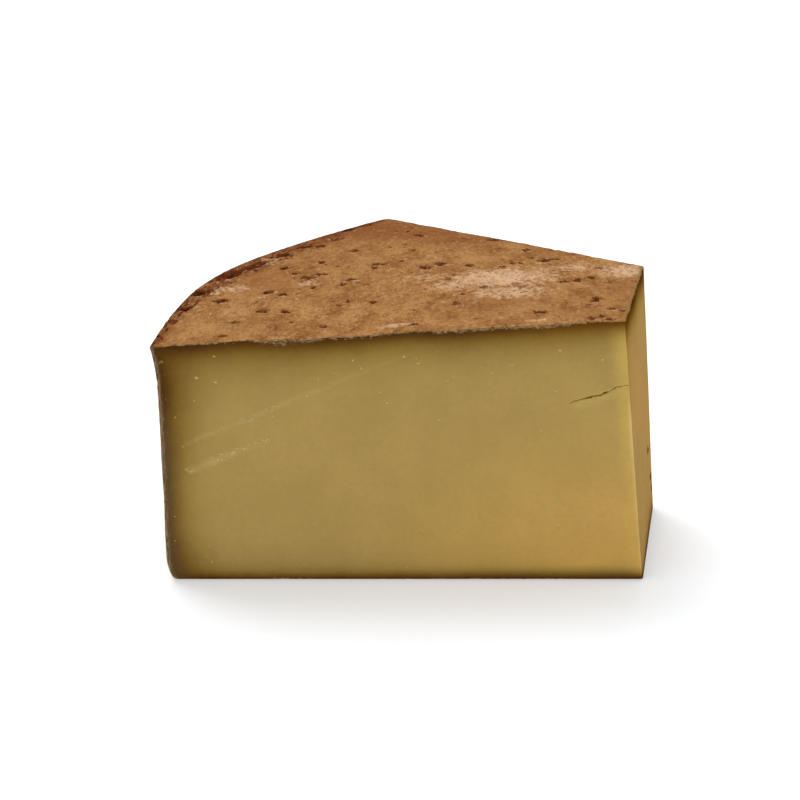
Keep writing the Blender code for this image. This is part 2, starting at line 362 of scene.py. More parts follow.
@dataclass
class TopRelief:
    """Everything that makes the top rind uneven, with the marks that colour it.

    Fields are rows of lump size, height and layers. A pit's lip is a bell of the distance from the
    pit's middle, with its place, width and height. Named pits are rows of radius, degrees and, in
    millimetres, length and width, then turn in degrees and, where they aren't the usual ones, depth
    in millimetres and bend. Patches are rows of radius, degrees, half width, half depth and strength.
    """

    form: WedgeForm
    seed: int = 41
    fields: Rows = ((35 * MM, 0.35 * MM, 1), (8 * MM, 0.22 * MM, 2), (2.6 * MM, 0.10 * MM, 2))
    band_widths: Rows = (
        (0.0, 5.0 * MM), (8.0, 8.0 * MM), (12.0, 13.0 * MM), (16.0, 17.0 * MM), (20.0, 20.0 * MM),
        (24.0, 24.0 * MM), (28.0, 24.0 * MM), (32.0, 22.0 * MM), (36.0, 17.0 * MM), (42.0, 9.0 * MM),
        (48.0, 7.0 * MM),
    )
    band_wander: tuple[float, float] = (12 * MM, 2.0 * MM)
    band_rise: float = 0.35 * MM
    crack_depth: float = 0.7 * MM
    crack_size: tuple[float, float] = (15 * MM, 4.5 * MM)
    crack_darkening: float = 0.70
    small_pits: int = 90
    small_length: tuple[float, float] = (1.4 * MM, 3.6 * MM)
    calm_rim: float = 2.5 * MM
    # How much of the pale lip goes into the pale mark: dry rind with a painted highlight.
    lip_highlight_share: float = 0.50
    skin_red: float = 0.75
    # Strength of the pits' stain and painted shade by radius, and the pit depth where it is full.
    stain_and_shade_strength: Rows = ((0.15, 0.78), (0.24, 0.86), (0.30, 1.08))
    full_darkening_depth: float = 2.2 * MM
    ragged_size: float = 2.2 * MM
    pit_lip: tuple[float, float, float] = (1.3, 0.35, 0.30)
    rim_unevenness: float = 0.15
    named_pits: Rows = (
        (0.3062, 13.4, 8.0, 5.2, 8.0, 1.9, 0.1), (0.2803, 9.7, 5.6, 5.8, -4.0),
        (0.2685, 9.6, 4.2, 4.9, 20.0, 1.1), (0.2878, 16.5, 5.0, 4.9, -15.0),
        (0.2790, 15.9, 5.0, 4.1, -20.0, 1.1), (0.2792, 22.4, 7.4, 4.6, -22.0, 1.2),
        (0.2743, 24.1, 6.6, 4.3, 28.0, 1.2), (0.2886, 23.8, 4.6, 4.1, -10.0, 1.0),
        (0.2992, 25.4, 5.2, 5.2, 0.0), (0.2866, 28.7, 4.0, 4.3, 5.0, 1.0),
        (0.2561, 29.8, 9.4, 4.1, 5.0, 1.2), (0.2540, 28.2, 3.4, 3.8, 0.0, 1.0),
        (0.2850, 34.5, 5.4, 4.3, 8.0, 1.0), (0.2545, 22.6, 7.0, 3.8, 10.0, 1.0),
        (0.2555, 20.5, 4.0, 3.8, 0.0, 0.8), (0.2434, 21.0, 4.4, 3.5, 0.0, 0.7),
        (0.2679, 18.8, 2.6, 3.5, 0.0, 1.0), (0.2296, 13.3, 3.4, 4.1, 6.0, 1.2),
        (0.2467, 3.9, 4.0, 4.1, 0.0, 1.2), (0.2423, 13.6, 4.6, 4.9, 10.0, 0.7),
        (0.2450, 12.2, 3.0, 3.5, 0.0, 0.6), (0.2896, 5.7, 6.0, 4.3, 0.0, 0.6, 0.5),
        (0.2298, 30.5, 6.4, 6.7, 6.0), (0.2262, 32.6, 6.4, 4.3, 18.0, 1.3),
        (0.2774, 43.7, 5.4, 5.2, 0.0, 1.2), (0.2575, 37.4, 4.0, 3.5, 0.0, 0.8),
        (0.2106, 33.3, 4.4, 4.3, 0.0, 1.5), (0.2077, 25.7, 4.4, 4.1, 0.0, 0.8),
        (0.2091, 28.1, 3.4, 3.5, 0.0, 0.8), (0.1994, 17.4, 3.4, 3.8, 0.0, 0.8),
        (0.2047, 44.8, 4.0, 4.6, 0.0), (0.1939, 34.7, 3.6, 3.5, 10.0, 1.0),
        (0.1932, 37.2, 3.8, 4.1, 14.0, 1.2), (0.1897, 37.7, 3.0, 3.5, 0.0, 1.0),
        (0.1926, 41.5, 3.4, 3.5, 0.0, 0.9), (0.1834, 22.3, 5.4, 4.9, 10.0, 1.6),
        (0.1827, 40.9, 6.4, 6.4, -10.0), (0.1790, 42.6, 4.4, 4.3, 10.0, 1.1),
        (0.1895, 13.2, 5.0, 4.1, 6.0, 0.9), (0.1628, 21.1, 3.6, 3.8, -20.0, 0.9),
        (0.1477, 7.9, 6.6, 4.1, 25.0, 1.6, 0.6), (0.1249, 18.6, 4.6, 4.3, 0.0, 1.7),
        (0.1250, 16.4, 4.4, 4.3, 14.0, 1.4), (0.1149, 10.3, 4.4, 4.9, -20.0, 0.9),
        (0.1455, 31.4, 8.6, 4.6, 10.0, 1.3), (0.1410, 33.6, 7.4, 4.1, 14.0, 1.2),
        (0.1510, 29.3, 5.4, 4.1, 4.0, 1.2), (0.1485, 40.9, 4.4, 3.8, 0.0, 0.9),
        (0.1240, 2.4, 6.2, 3.5, 5.0, 1.2), (0.1200, 4.1, 4.4, 3.5, 0.0, 1.1),
        (0.1160, 1.8, 4.0, 3.2, 0.0, 1.1), (0.2047, 2.3, 2.8, 4.3, 0.0, 2.0, 0.0),
        (0.2359, 47.0, 9.0, 3.5, -12.0, 0.8), (0.1953, 47.3, 7.0, 3.2, -12.0, 0.8),
        (0.3227, 2.8, 3.4, 3.8, 0.0, 1.2), (0.3200, 10.8, 10.0, 5.2, 50.0, 1.3),
        (0.3210, 15.9, 14.0, 6.0, 64.0, 1.5), (0.3195, 22.1, 17.0, 7.0, 62.0, 1.9),
        (0.3168, 24.8, 11.0, 5.6, 52.0, 1.6), (0.3168, 26.9, 8.0, 5.2, 46.0, 1.4),
        (0.3146, 30.0, 10.0, 4.8, 50.0, 1.2), (0.3146, 33.6, 9.0, 4.6, 22.0, 1.2),
        (0.3080, 34.7, 8.0, 4.2, 26.0, 1.1), (0.3100, 37.8, 10.0, 3.8, 45.0, 0.8),
        (0.3196, 41.5, 11.0, 3.8, 50.0, 0.8),
    )
    blooms: Rows = (
        (0.1835, 28.6, 0.03, 0.02, 1.0), (0.169, 20.5, 0.022, 0.012, 0.8),
        (0.196, 23.0, 0.02, 0.012, 0.75), (0.1345, 41.5, 0.016, 0.017, 0.9),
        (0.164, 38.0, 0.024, 0.008, 0.65), (0.309, 17.5, 0.011, 0.007, 0.75),
        (0.3159, 16.0, 0.006, 0.005, 0.7), (0.2742, 20.7, 0.007, 0.006, 0.6),
        (0.3164, 28.2, 0.008, 0.006, 0.6), (0.2135, 2.8, 0.009, 0.004, 0.8),
        (0.15, 3.0, 0.01, 0.003, 0.6), (0.2886, 15.0, 0.004, 0.004, 0.6),
        (0.2729, 20.3, 0.006, 0.005, 0.6), (0.3113, 26.9, 0.006, 0.005, 0.6),
        (0.22, 25.5, 0.016, 0.01, 0.5), (0.187, 35.6, 0.008, 0.005, 0.6),
    )
    ruddy: Rows = (
        (0.312, 43.0, 0.05, 0.034, 1.1), (0.28, 44.5, 0.06, 0.018, 1.0), (0.315, 36.0, 0.03, 0.016, 0.7),
        (0.25, 45.0, 0.04, 0.018, 0.9), (0.195, 45.5, 0.03, 0.012, 0.6), (0.178, 13.0, 0.03, 0.016, 0.6),
        (0.145, 15.0, 0.022, 0.012, 0.4), (0.3, 21.0, 0.02, 0.036, 0.6), (0.285, 30.0, 0.03, 0.03, 0.45),
        (0.12, 28.0, 0.016, 0.02, 0.6), (0.225, 32.0, 0.016, 0.01, 0.6), (0.295, 26.0, 0.018, 0.02, 0.5),
        (0.122, 5.0, 0.016, 0.008, 0.6), (0.318, 4.0, 0.007, 0.012, 0.7),
        (0.248, 15.0, 0.022, 0.012, 0.4),
    )
    sink: float = 0.12 * MM
    pits: list[Pit] = field(init=False)
    field: LumpyField = field(init=False)

    def __post_init__(self) -> None:
        """Make the field and the pits: the named ones, and small ones drawn evenly over the sector."""
        self.field = LumpyField(self.seed)
        draw, count = np.random.default_rng(self.seed + 1), self.small_pits
        radius = np.sqrt(draw.uniform(0.10**2, 0.322**2, count))
        degrees = draw.uniform(0.5, math.degrees(self.form.angle) - 0.5, count)
        length = draw.uniform(*self.small_length, count)
        width = length * draw.uniform(0.5, 0.9, count)
        turn = draw.normal(0.0, 25.0, count)
        depth = length * draw.uniform(0.12, 0.30, count)
        small = columns(radius, degrees, length, width, turn, depth).tolist()
        self.pits = [Pit.in_mm(*row) for row in self.named_pits] + [Pit(*row) for row in small]

    def pitted(self, points: Array) -> tuple[Array, Array, Array, Array]:
        """Return the pits' relief, their stain and painted shade, their pale lip with a painted
        highlight, and the ruddy skin round them.

        A pit is an eased bowl inside its ellipse, with a low lip on its near side. The dark mark is
        stain with painted shade: it lies on the far wall, where shade falls, and falls evenly outwards,
        so that a material can give it a sharp, ragged outline. The pale lip is dry rind with a painted
        highlight. Lip and ruddy skin are bells of the distance from the ellipse.

        Args:
            points: Places on the top.

        Returns:
            Height change, stain with painted shade, pale lip with painted highlight and ruddy skin for
            each point, the last three from 0 to 1.
        """
        rise, stain_and_shade, pale, ruddy = np.zeros((4, len(points)))
        ragged = self.field.at(points, self.ragged_size)
        lip_at, lip_width, lip_height = self.pit_lip
        for pit in self.pits:
            gaps = np.abs(points[:, :2] - self.form.spot(pit.radius, pit.degrees))
            near = np.flatnonzero(gaps.max(axis=1) < max(pit.length, pit.width) * 1.3)
            away, across = pit.shares(self.form, points[near], ragged[near])
            lip = bell(away - lip_at, lip_width) * smooth(0.6 - across)
            rise[near] += pit.depth * (lip_height * lip - smooth(1.35 - away))
            deep = min(1.0, 0.35 + pit.depth / self.full_darkening_depth)
            # Painted shade: the near side counts as farther out, so the dark sits on the far wall.
            far = away + 0.40 * smooth(0.45 - across)
            dark = deep * read_off(self.stain_and_shade_strength, pit.radius) * np.clip(1.0 - far / 1.8, 0.0, 1.0)
            # Stain with painted shade, pale lip with painted highlight, and ruddy skin.
            for total, value in ((stain_and_shade, dark), (pale, deep * lip), (ruddy, deep * bell(away, 1.9))):
                total[near] = np.maximum(total[near], value)
        return rise, stain_and_shade, pale, ruddy

    def rim_band(self, points: Array, radius: Array, angle: Array) -> tuple[Array, Array, Array]:
        """Return the relief of the cracked band inside the rim, whose width is read from a table.

        Cracks are the creases of a field that is stretched along the rim: 1 - |value| close to 1.

        Args:
            points: Places on the top.
            radius: Their radii.
            angle: Their angles.

        Returns:
            Height change, band and crack for each point, the last two from 0 to 1.
        """
        wander_size, wander = self.band_wander
        inset = self.form.rim(angle) - radius + wander * self.field.at(points, wander_size)
        width = read_off(self.band_widths, np.degrees(angle))
        band = smooth((width - inset) / (0.55 * width))
        along, across = self.crack_size
        unrolled = columns(angle * self.form.radius / along, radius / across, 0.0)
        crack = eased(1.0 - np.abs(self.field.at(unrolled, 1.0, 2)), 0.86, 0.96) * band
        lumpy = self.band_rise * self.field.at(points, 5 * MM, 2)
        return band * lumpy - crack * self.crack_depth, band, crack

    def spread(self, points: Array, patches: Rows, power: float) -> Array:
        """Return how far places lie in soft patches, the bells exp(-d^power) of their distances.

        Args:
            points: Places on the top.
            patches: Radius, degrees, half width, half depth and strength of each patch.
            power: A larger one makes a flatter middle and a harder outline.

        Returns:
            The highest share for each point.
        """
        share = np.zeros(len(points))
        for radius, degrees, wide, deep, strength in patches:
            x, y = (points[:, :2] - self.form.spot(radius, degrees)).T
            share = np.maximum(share, strength * np.exp(-(np.hypot(x / wide, y / deep) ** power)))
        return share

    def bloomed(self, points: Array) -> Array:
        """Return how far places lie in patches of pale bloom."""
        return self.spread(points, self.blooms, 3.0)

    def rise(self, points: Array) -> tuple[Array, Marks]:
        """Return the whole relief of the top.

        Args:
            points: Places on the smooth top.

        Returns:
            Height change for each point, and the marks of stain with painted shade, of bloom with the
            pits' painted lip highlight, ruddy and band.
        """
        radius, angle = self.form.polar(points)
        flat = points * np.array([1.0, 1.0, 0.0])
        pit_rise, stain_and_shade, pale, skin = self.pitted(flat)
        band_rise, band, crack = self.rim_band(flat, radius, angle)
        inside = eased(self.form.rim(angle) - radius, 0.0, self.calm_rim)
        calm = self.rim_unevenness + (1.0 - self.rim_unevenness) * inside
        # The dark mark holds painted shade in the pits and is darker in the cracks; the pale mark holds
        # bloom and the painted highlight on the pits' lips.
        marks = {
            "stain_and_shade": np.maximum(stain_and_shade, self.crack_darkening * crack),
            "bloom_and_highlight": np.maximum(self.bloomed(flat), self.lip_highlight_share * pale),
            "ruddy": np.maximum(self.spread(flat, self.ruddy, 2.0), self.skin_red * skin),
            "band": band,
        }
        return (self.field.relief(flat, self.fields) + pit_rise + band_rise) * calm - self.sink, marks


@dataclass(frozen=True)
class CutLine:
    """A straight line on a cut, from one place to another as radius and height."""

    start: tuple[float, float]
    end: tuple[float, float]

    def points(self, share: Array) -> tuple[Array, ...]:
        """Return radius and height at shares of the way along the line."""
        return tuple(start + (end - start) * share for start, end in zip(self.start, self.end))

    def above(self, radius: Array, height: Array) -> tuple[Array, Array]:
        """Return where places are, seen from the line.

        Args:
            radius: Radii of the places.
            height: Their heights.

        Returns:
            How far each lies above the line, and its share of the way along it.
        """
        along = np.array(self.end) - np.array(self.start)
        length = np.linalg.norm(along)
        away = columns(radius - self.start[0], height - self.start[1])
        side = (along[0] * away[:, 1] - along[1] * away[:, 0]) / length
        return side * np.sign(along[0]), away @ along / length**2


FRINGE = (
    (0.262, 0.012, 2.0), (0.175, 0.040, 0.9), (0.142, 0.008, 0.5), (0.238, 0.020, 0.35),
    (0.300, 0.020, 0.20),
)
LONG_SCRATCH = CutLine((0.3150, 0.0660), (0.1974, 0.1156))
SHORT_SCRATCH = CutLine((0.3109, 0.0539), (0.2748, 0.0686))
BACK_SCRATCH = CutLine((0.1660, 0.0360), (0.2780, 0.0620))
SPLIT_LINE = CutLine((0.1339, 0.0877), (0.1080, 0.0966))


def fringe_strength(radius: Array) -> Array:
    """Return the rind's fringe along the front cut: bells with FRINGE's radii, widths and heights."""
    return sum(tall * bell(radius - at, wide) for at, wide, tall in FRINGE)


@dataclass
class CutRelief:
    """The slight unevenness of the three cuts."""

    form: WedgeForm
    seed: int = 57
    swell: tuple[float, float] = (45 * MM, 0.16 * MM)
    drag: tuple[float, float] = (7 * MM, 0.045 * MM)
    step: float = 0.16 * MM
    step_width: float = 0.8 * MM
    front_sink: float = 0.26 * MM
    field: LumpyField = field(init=False)

    def __post_init__(self) -> None:
        """Make the field."""
        self.field = LumpyField(self.seed)

    def outward(self, points: Array, front: Array | float) -> Array:
        """Return how far the cut stands out.

        A broad swell and fine drag marks. The front is sunk a little, so that what lies on it stays in
        the solid's box, and has a step at the long scratch, lower above it.

        Args:
            points: Places on the smooth cut.
            front: 1 on the front cut and 0 elsewhere.

        Returns:
            Distance along the cut's outward direction for each point.
        """
        swell_size, swell = self.swell
        drag_size, drag = self.drag
        stretched = points * np.array([0.35, 0.35, 1.0])
        total = swell * self.field.at(points, swell_size) + drag * self.field.at(stretched, drag_size, 2)
        above, share = LONG_SCRATCH.above(self.form.polar(points)[0], points[:, 2])
        reach = eased(share, 1.0, 0.6) * eased(share, -0.1, 0.0)
        return total - front * (self.front_sink + self.step * reach * smooth(0.5 + above / self.step_width))


@dataclass
class WedgeShell:
    """The wedge's closed surface: the outside of a bent block of fine cells.

    A point of the block has three shares: u from nose to heel, v from the front cut to the back cut
    and w from base to top. Faces that matter less are made of fewer, larger cells, joined to the
    fine cells round them by a ring of triangles. The heel's hollows and cracks have a size and a
    depth in millimetres. The browning tables scale the distances from top, base and heel, by radius,
    radius and height. The nose's spots are rows of height, inset from the back edge, size and
    strength.
    """

    form: WedgeForm
    top_relief: TopRelief
    cut_relief: CutRelief
    edge_round: float = 1.0 * MM
    edge_lines: tuple[float, ...] = (0.0, 0.22, 0.5, 0.85, 1.3)
    calm_edge: float = 3 * MM
    mean_height: float = 0.12
    mean_arc: float = 0.7
    heel_fields: Rows = ((30 * MM, 0.45 * MM, 1), (6 * MM, 0.12 * MM, 3))
    heel_hollow: tuple[float, float] = (8 * MM, 0.9)
    heel_crack: tuple[float, float] = (34 * MM, 0.3)
    heel_fade: float = 6 * MM
    crumble: tuple[float, float] = (3.2 * MM, 0.30 * MM)
    browning: Rows = (
        (0.109, 1.50), (0.122, 1.38), (0.131, 1.22), (0.177, 1.04), (0.236, 0.90), (0.304, 0.88),
    )
    foot_browning: Rows = ((0.110, 1.85), (0.180, 2.1), (0.250, 2.4))
    heel_browning: Rows = (
        (0.000, 0.55), (0.010, 0.60), (0.023, 0.86), (0.048, 1.08), (0.073, 0.76), (0.098, 0.70),
    )
    inner_browning: float = 1.18
    nose_foot_browning: float = 1.6
    nose_spots: Rows = (
        (0.0385, 0.017, 2.3 * MM, 0.85), (0.0200, 0.007, 2.0 * MM, 1.15), (0.0130, 0.005, 1.6 * MM, 1.1),
    )
    cells: tuple[int, int, int] = (210, 228, 76)
    numbers: Whole = field(init=False)

    def __post_init__(self) -> None:
        """Number the block's places."""
        shape = tuple(count + 1 for count in self.cells)
        self.numbers = np.arange(math.prod(shape)).reshape(shape)

    def lines(self, count: int, length: float) -> Array:
        """Return shares from 0 to 1 that crowd at both ends, where the edges are rounded.

        Args:
            count: How many cells there are.
            length: The direction's length.

        Returns:
            One more share than there are cells.
        """
        edge = np.array(self.edge_lines) * self.edge_round / length
        middle = np.linspace(edge[-1], 1.0 - edge[-1], count - 2 * (len(edge) - 1) + 1)
        return np.concatenate([edge[:-1], middle, 1.0 - edge[-2::-1]])

    @staticmethod
    def ring(keys: Whole, step: int, inset: int) -> Whole:
        """Join one fine edge of a face to the first line of its coarse cells.

        Each fine piece of the edge is joined to the nearest coarse place, and each coarse piece to
        the edge place where the nearest changes.

        Args:
            keys: The face's numbers, its edge in the first column.
            step: Fine cells in a coarse one, along the edge.
            inset: Fine cells in a coarse one, away from the edge.

        Returns:
            Triangles that wind as the face does.
        """
        edge = keys[:, 0]
        count = len(edge) - 1
        coarse = count // step
        near = np.floor((np.arange(count) + 0.5) / step + 0.5).astype(np.int64)
        near = np.clip(near, 1, coarse - 1)
        first = np.arange(1, coarse - 1)
        change = np.searchsorted(near, first, side="right")
        fans = columns(edge[:-1], edge[1:], keys[near * step, inset])
        inner = columns(keys[(first + 1) * step, inset], keys[first * step, inset], edge[change])
        return np.concatenate([fans, inner])

    def face_cells(self, side: Face) -> list[Whole]:
        """Return one face's cells, winding outwards.

        Args:
            side: The face.

        Returns:
            Its four-sided cells and, where it is coarse, its triangles.
        """
        fixed, end = side.value
        keys = self.numbers.take(-end, axis=fixed)
        if (fixed == 1) != (end == 1):
            keys = keys[::-1]
        if side not in COARSE:
            return [grid_cells(keys)]
        step, inset = COARSE[side]
        pairs = ((step, inset), (inset, step), (step, inset), (inset, step))
        rings = [self.ring(np.rot90(keys, turn), *pair) for turn, pair in enumerate(pairs)]
        return [grid_cells(keys[step:-step:step, inset:-inset:inset]), np.concatenate(rings)]

    def smooth_points(self, u: Array, v: Array, w: Array) -> tuple[Array, Array]:
        """Return the smooth surface with rounded edges, and which way is out at each point.

        A point nearer than the rounding to more than one face lies on a ball of that radius.

        Args:
            u: Shares from nose to heel.
            v: Shares from the front cut to the back cut.
            w: Shares from base to top.

        Returns:
            Points, and the outward direction of the block at each.
        """
        form, ball = self.form, self.edge_round
        angle = form.angle * v
        near, far = form.nose(angle, w), form.heel(angle, form.rim_height * w)
        radius = near + (far - near) * u
        height = w * form.top(radius, angle)
        out = columns(-np.cos(angle), np.sin(angle), 0.0)
        along = columns(np.sin(angle), np.cos(angle), 0.0)
        up = np.array([0.0, 0.0, 1.0])
        gaps = (
            ((far - near) * u, (far - near) * (1.0 - u)),
            (radius * angle, radius * (form.angle - angle)),
            (height, form.top(radius, angle) - height),
        )
        sides = columns(*(np.maximum(ball - high, 0.0) - np.maximum(ball - low, 0.0) for low, high in gaps))
        length = np.maximum(np.linalg.norm(sides, axis=1, keepdims=True), 1e-9)
        drawn = sides * (ball / np.maximum(length, ball) - 1.0)
        moved, outward = (
            part[:, :1] * out + part[:, 1:2] * along + part[:, 2:] * up for part in (drawn, sides)
        )
        return form.place(radius, angle, height) + moved, unit(outward)

    def surface(self) -> tuple[Array, list[list[int]], Whole, Marks]:
        """Return the finished shell.

        Returns:
            Points, faces, each face's Look value, and the marks of each point.
        """
        groups = [(kind, LOOK_OF.get(side, Look.RIND)) for side in Face for kind in self.face_cells(side)]
        used, compact = np.unique(np.concatenate([kind.ravel() for kind, _ in groups]), return_inverse=True)
        ends = np.cumsum([kind.size for kind, _ in groups])[:-1]
        faces: list[list[int]] = []
        for numbers, (kind, _) in zip(np.split(compact, ends), groups):
            faces += numbers.reshape(kind.shape).tolist()
        looks = np.concatenate([np.full(len(kind), look.value) for kind, look in groups])
        points, marks = self.raised(used)
        return points, faces, looks, marks

    def raised(self, used: Whole) -> tuple[Array, Marks]:
        """Return the shell's points with all relief laid on.

        Args:
            used: The numbers of the block's places that the shell uses.

        Returns:
            Points, and their marks.
        """
        form = self.form
        lengths = (form.radius - form.nose_front, self.mean_arc * form.radius, form.rim_height)
        places = np.unravel_index(used, self.numbers.shape)
        rows = zip(self.cells, lengths, places)
        u, v, w = (self.lines(count, length)[place] for count, length, place in rows)
        points, direction = self.smooth_points(u, v, w)
        marks = self.depth_marks(points, u == 0.0)
        wall, cut = (w > 0.0) & (w < 1.0), (u == 0.0) | (v == 0.0) | (v == 1.0)
        is_top, is_heel = w == 1.0, (u == 1.0) & wall
        is_cut, is_edge = cut & wall & ~is_heel, cut & is_top
        rise, top_marks = self.top_relief.rise(points[is_top])
        points[is_top, 2] += rise
        for name, values in top_marks.items():
            marks[name] = np.zeros(len(points))
            marks[name][is_top] = values
        self.rough_heel(points, direction, marks, is_heel)
        edge_gap = np.minimum(np.minimum(w, 1.0 - w) * self.mean_height, marks["heel_gap"])
        inner = eased(edge_gap, 0.0, self.calm_edge)
        cut_out = self.cut_relief.outward(points[is_cut], (v == 0.0)[is_cut].astype(float))
        points[is_cut] += direction[is_cut] * (cut_out * inner[is_cut])[:, None]
        size, height = self.crumble
        crumbled = np.abs(height * self.top_relief.field.at(points[is_edge], size, 2))
        points[is_edge] -= direction[is_edge] * crumbled[:, None]
        return points, marks

    def depth_marks(self, points: Array, on_nose: Truth) -> Marks:
        """Return how deep each point lies below the rind and how near to edges, scratches and split.

        The distances from top, base and heel count together as (a^-2 + b^-2 + c^-2)^(-1/2), scaled by
        the browning tables. That is depth, and heel_gap is the plain distance from the heel. Edge,
        ridge and lip fade away from the cuts' edges; on the paste, edge and ridge carry a painted
        highlight along the edges. A painted pool of light lies low in the nose's half, amber lies in the
        nose's half, grey lies by the heel, and bare is the nose edge's thin rind. Fringe, spot and halo
        are bells of places.
        Each scratch has its height above the line and its way along it.

        Args:
            points: Places on the smooth surface.
            on_nose: Which of them lie on the nose cut.

        Returns:
            The marks of each point.
        """
        form, height = self.form, points[:, 2]
        radius, angle = form.polar(points)
        on_front = angle < 0.02
        heel_gap = np.maximum(form.heel(angle, height) - radius, 0.0)
        top_gap = np.maximum(form.top(radius, angle) - height, 0.0)
        top_gap = top_gap * np.where(on_nose, 1.0, read_off(self.browning, radius))
        foot_browning = read_off(self.foot_browning, radius)
        foot_gap = height * np.where(on_nose, self.nose_foot_browning, foot_browning)
        near_heel = read_off(self.heel_browning, height)
        inwards = (self.inner_browning - near_heel) * eased(heel_gap, 14 * MM, 34 * MM)
        gaps = np.stack([top_gap, foot_gap, heel_gap * (near_heel + inwards)]) + 0.02 * MM
        depth = (gaps**-2.0).sum(axis=0) ** -0.5
        nose_gap = np.maximum(radius - form.nose(angle, height / form.rim_height), 0.0)
        side_gap = radius * np.minimum(angle, form.angle - angle)
        cut_gap = np.where(on_nose, side_gap, nose_gap)
        lip_width = (1.6 + 1.4 * bell(np.hypot(side_gap, nose_gap), 5 * MM)) * MM
        bare = smooth(2.6 - nose_gap / (MM * (0.06 + 0.80 * bell(side_gap, 8 * MM))))
        below, way = SPLIT_LINE.above(radius, height)
        along_split = eased(way, -0.1, 0.2) * eased(way, 1.1, 0.8)
        marks = {
            "depth": depth,
            "heel_gap": heel_gap,
            # Painted highlight along the cuts' edges; the ridge is its brightest line near the top.
            "edge": eased(cut_gap, 9 * MM, 0.0),
            "ridge": eased(cut_gap, 1.3 * MM, 0.0) * eased(height, 0.098, 0.078),
            # Painted light: a brighter pool low down in the nose's half of the cuts.
            "painted_light": eased(radius, 0.26, 0.08) * eased(height, 0.095, 0.005) * eased(depth, 0.0, 16 * MM),
            "lip": eased(np.minimum(side_gap, nose_gap), lip_width, 0.0),
            "grey": eased(heel_gap, 12 * MM, 0.0) * eased(height, 0.095, 0.065),
            "amber": eased(top_gap, 26 * MM, 0.0) * eased(radius, 0.185, 0.125) * on_front,
            "bare": bare * 0.8 * bell(side_gap, 13 * MM),
            "fringe": fringe_strength(radius),
            "spot": np.zeros(len(points)),
            "halo": bell(below + 2.0 * MM, 2.2 * MM) * along_split * on_front,
        }
        for spot_height, inset, size, tall in self.nose_spots:
            across = radius * (form.angle - angle) - inset
            upright = height - spot_height - 0.35 * across
            away = (0.30 * across) ** 2 + upright**2 + nose_gap**2
            marks["spot"] += tall * np.exp(-away / size**2)
        for number, line in enumerate((LONG_SCRATCH, SHORT_SCRATCH, BACK_SCRATCH)):
            marks[f"above{number}"], marks[f"way{number}"] = line.above(radius, height)
        return marks

    def rough_heel(self, points: Array, direction: Array, marks: Marks, heel: Truth) -> None:
        """Lay lumps, grain, hollows and cracks on the heel, fading to nothing at the base.

        Args:
            points: The shell's points, which are moved.
            direction: The outward direction at each.
            marks: The shell's marks, which are filled in.
            heel: Which points lie on the heel.
        """
        lumpy, places = self.top_relief.field, points[heel]
        height = places[:, 2]
        rise = lumpy.relief(places, self.heel_fields)
        upright = places * np.array([1.0, 1.0, 0.6])
        hollow_size, hollow_depth = self.heel_hollow
        crack_size, crack_depth = self.heel_crack
        hollow = eased(lumpy.at(upright, hollow_size, 2), 0.50, 0.82)
        crack = eased(1.0 - np.abs(lumpy.at(upright + 0.3, crack_size, 2)), 0.965, 0.995)
        sunk = MM * (hollow_depth * hollow + crack_depth * crack)
        moved = (rise - sunk) * eased(height, 0.0, self.heel_fade)
        points[heel] += direction[heel] * moved[:, None]
        # Darker in the hollows.
        marks["stain_and_shade"][heel] = 0.55 * hollow
        marks["ruddy"][heel] = 0.15 + 0.55 * eased(lumpy.at(places, 40 * MM), -0.3, 0.7)
        marks["band"][heel] = 0.8 * eased(height - self.form.rim_height, -14 * MM, -2 * MM)
        marks["bloom_and_highlight"][heel] = 0.60 * eased(lumpy.at(places + 0.7, 30 * MM, 3), 0.05, 0.65)

    def top_points(self, radius: Array, angle: Array) -> Array:
        """Return points of the finished top from radius and angle."""
        points = self.form.place(radius, angle, self.form.top(radius, angle))
        return points + columns(0.0, 0.0, self.top_relief.rise(points)[0])

    def cut_gap(self, down: Array) -> Array:
        """Return how far the rounded edge lies behind the cut, at a distance below the top."""
        return self.form.round_in(down, self.edge_round, self.edge_round)

    def cut_points(self, radius: Array, height: Array, back: bool = False) -> tuple[Array, Array]:
        """Return points of a finished cut.

        Args:
            radius: Their radii.
            height: Their heights.
            back: Whether they lie on the back cut, and not on the front cut.

        Returns:
            The points, and the cut's outward direction.
        """
        angle = self.form.angle if back else 0.0
        outward = np.array([math.sin(angle), math.cos(angle), 0.0]) * (1.0 if back else -1.0)
        points = self.form.place(radius, angle, height)
        return points + self.cut_relief.outward(points, float(not back))[:, None] * outward, outward


def new_mesh_object(name: str, points: Array, faces: list[list[int]]) -> bpy.types.Object:
    """Return a smooth-shaded mesh object at the origin.

    Args:
        name: The object's name.
        points: Its points, one a row.
        faces: The point numbers of each face.

    Returns:
        The object, in the scene.
    """
    mesh = bpy.data.meshes.new(name)
    mesh.from_pydata(points.tolist(), [], faces)
    mesh.shade_smooth()
    obj = bpy.data.objects.new(name, mesh)
    bpy.context.scene.collection.objects.link(obj)
    return obj


def add_marks(mesh: bpy.types.Mesh, marks: Marks) -> None:
    """Store marks on a mesh's face corners, where a later cut keeps them.

    Args:
        mesh: The mesh.
        marks: A value for each of its points, by name.
    """
    point_of = np.empty(len(mesh.loops), np.int32)
    mesh.loops.foreach_get("vertex_index", point_of)
    for name, values in marks.items():
        attribute = mesh.attributes.new(name, "FLOAT", "CORNER")
        attribute.data.foreach_set("value", values[point_of].astype(np.float32))


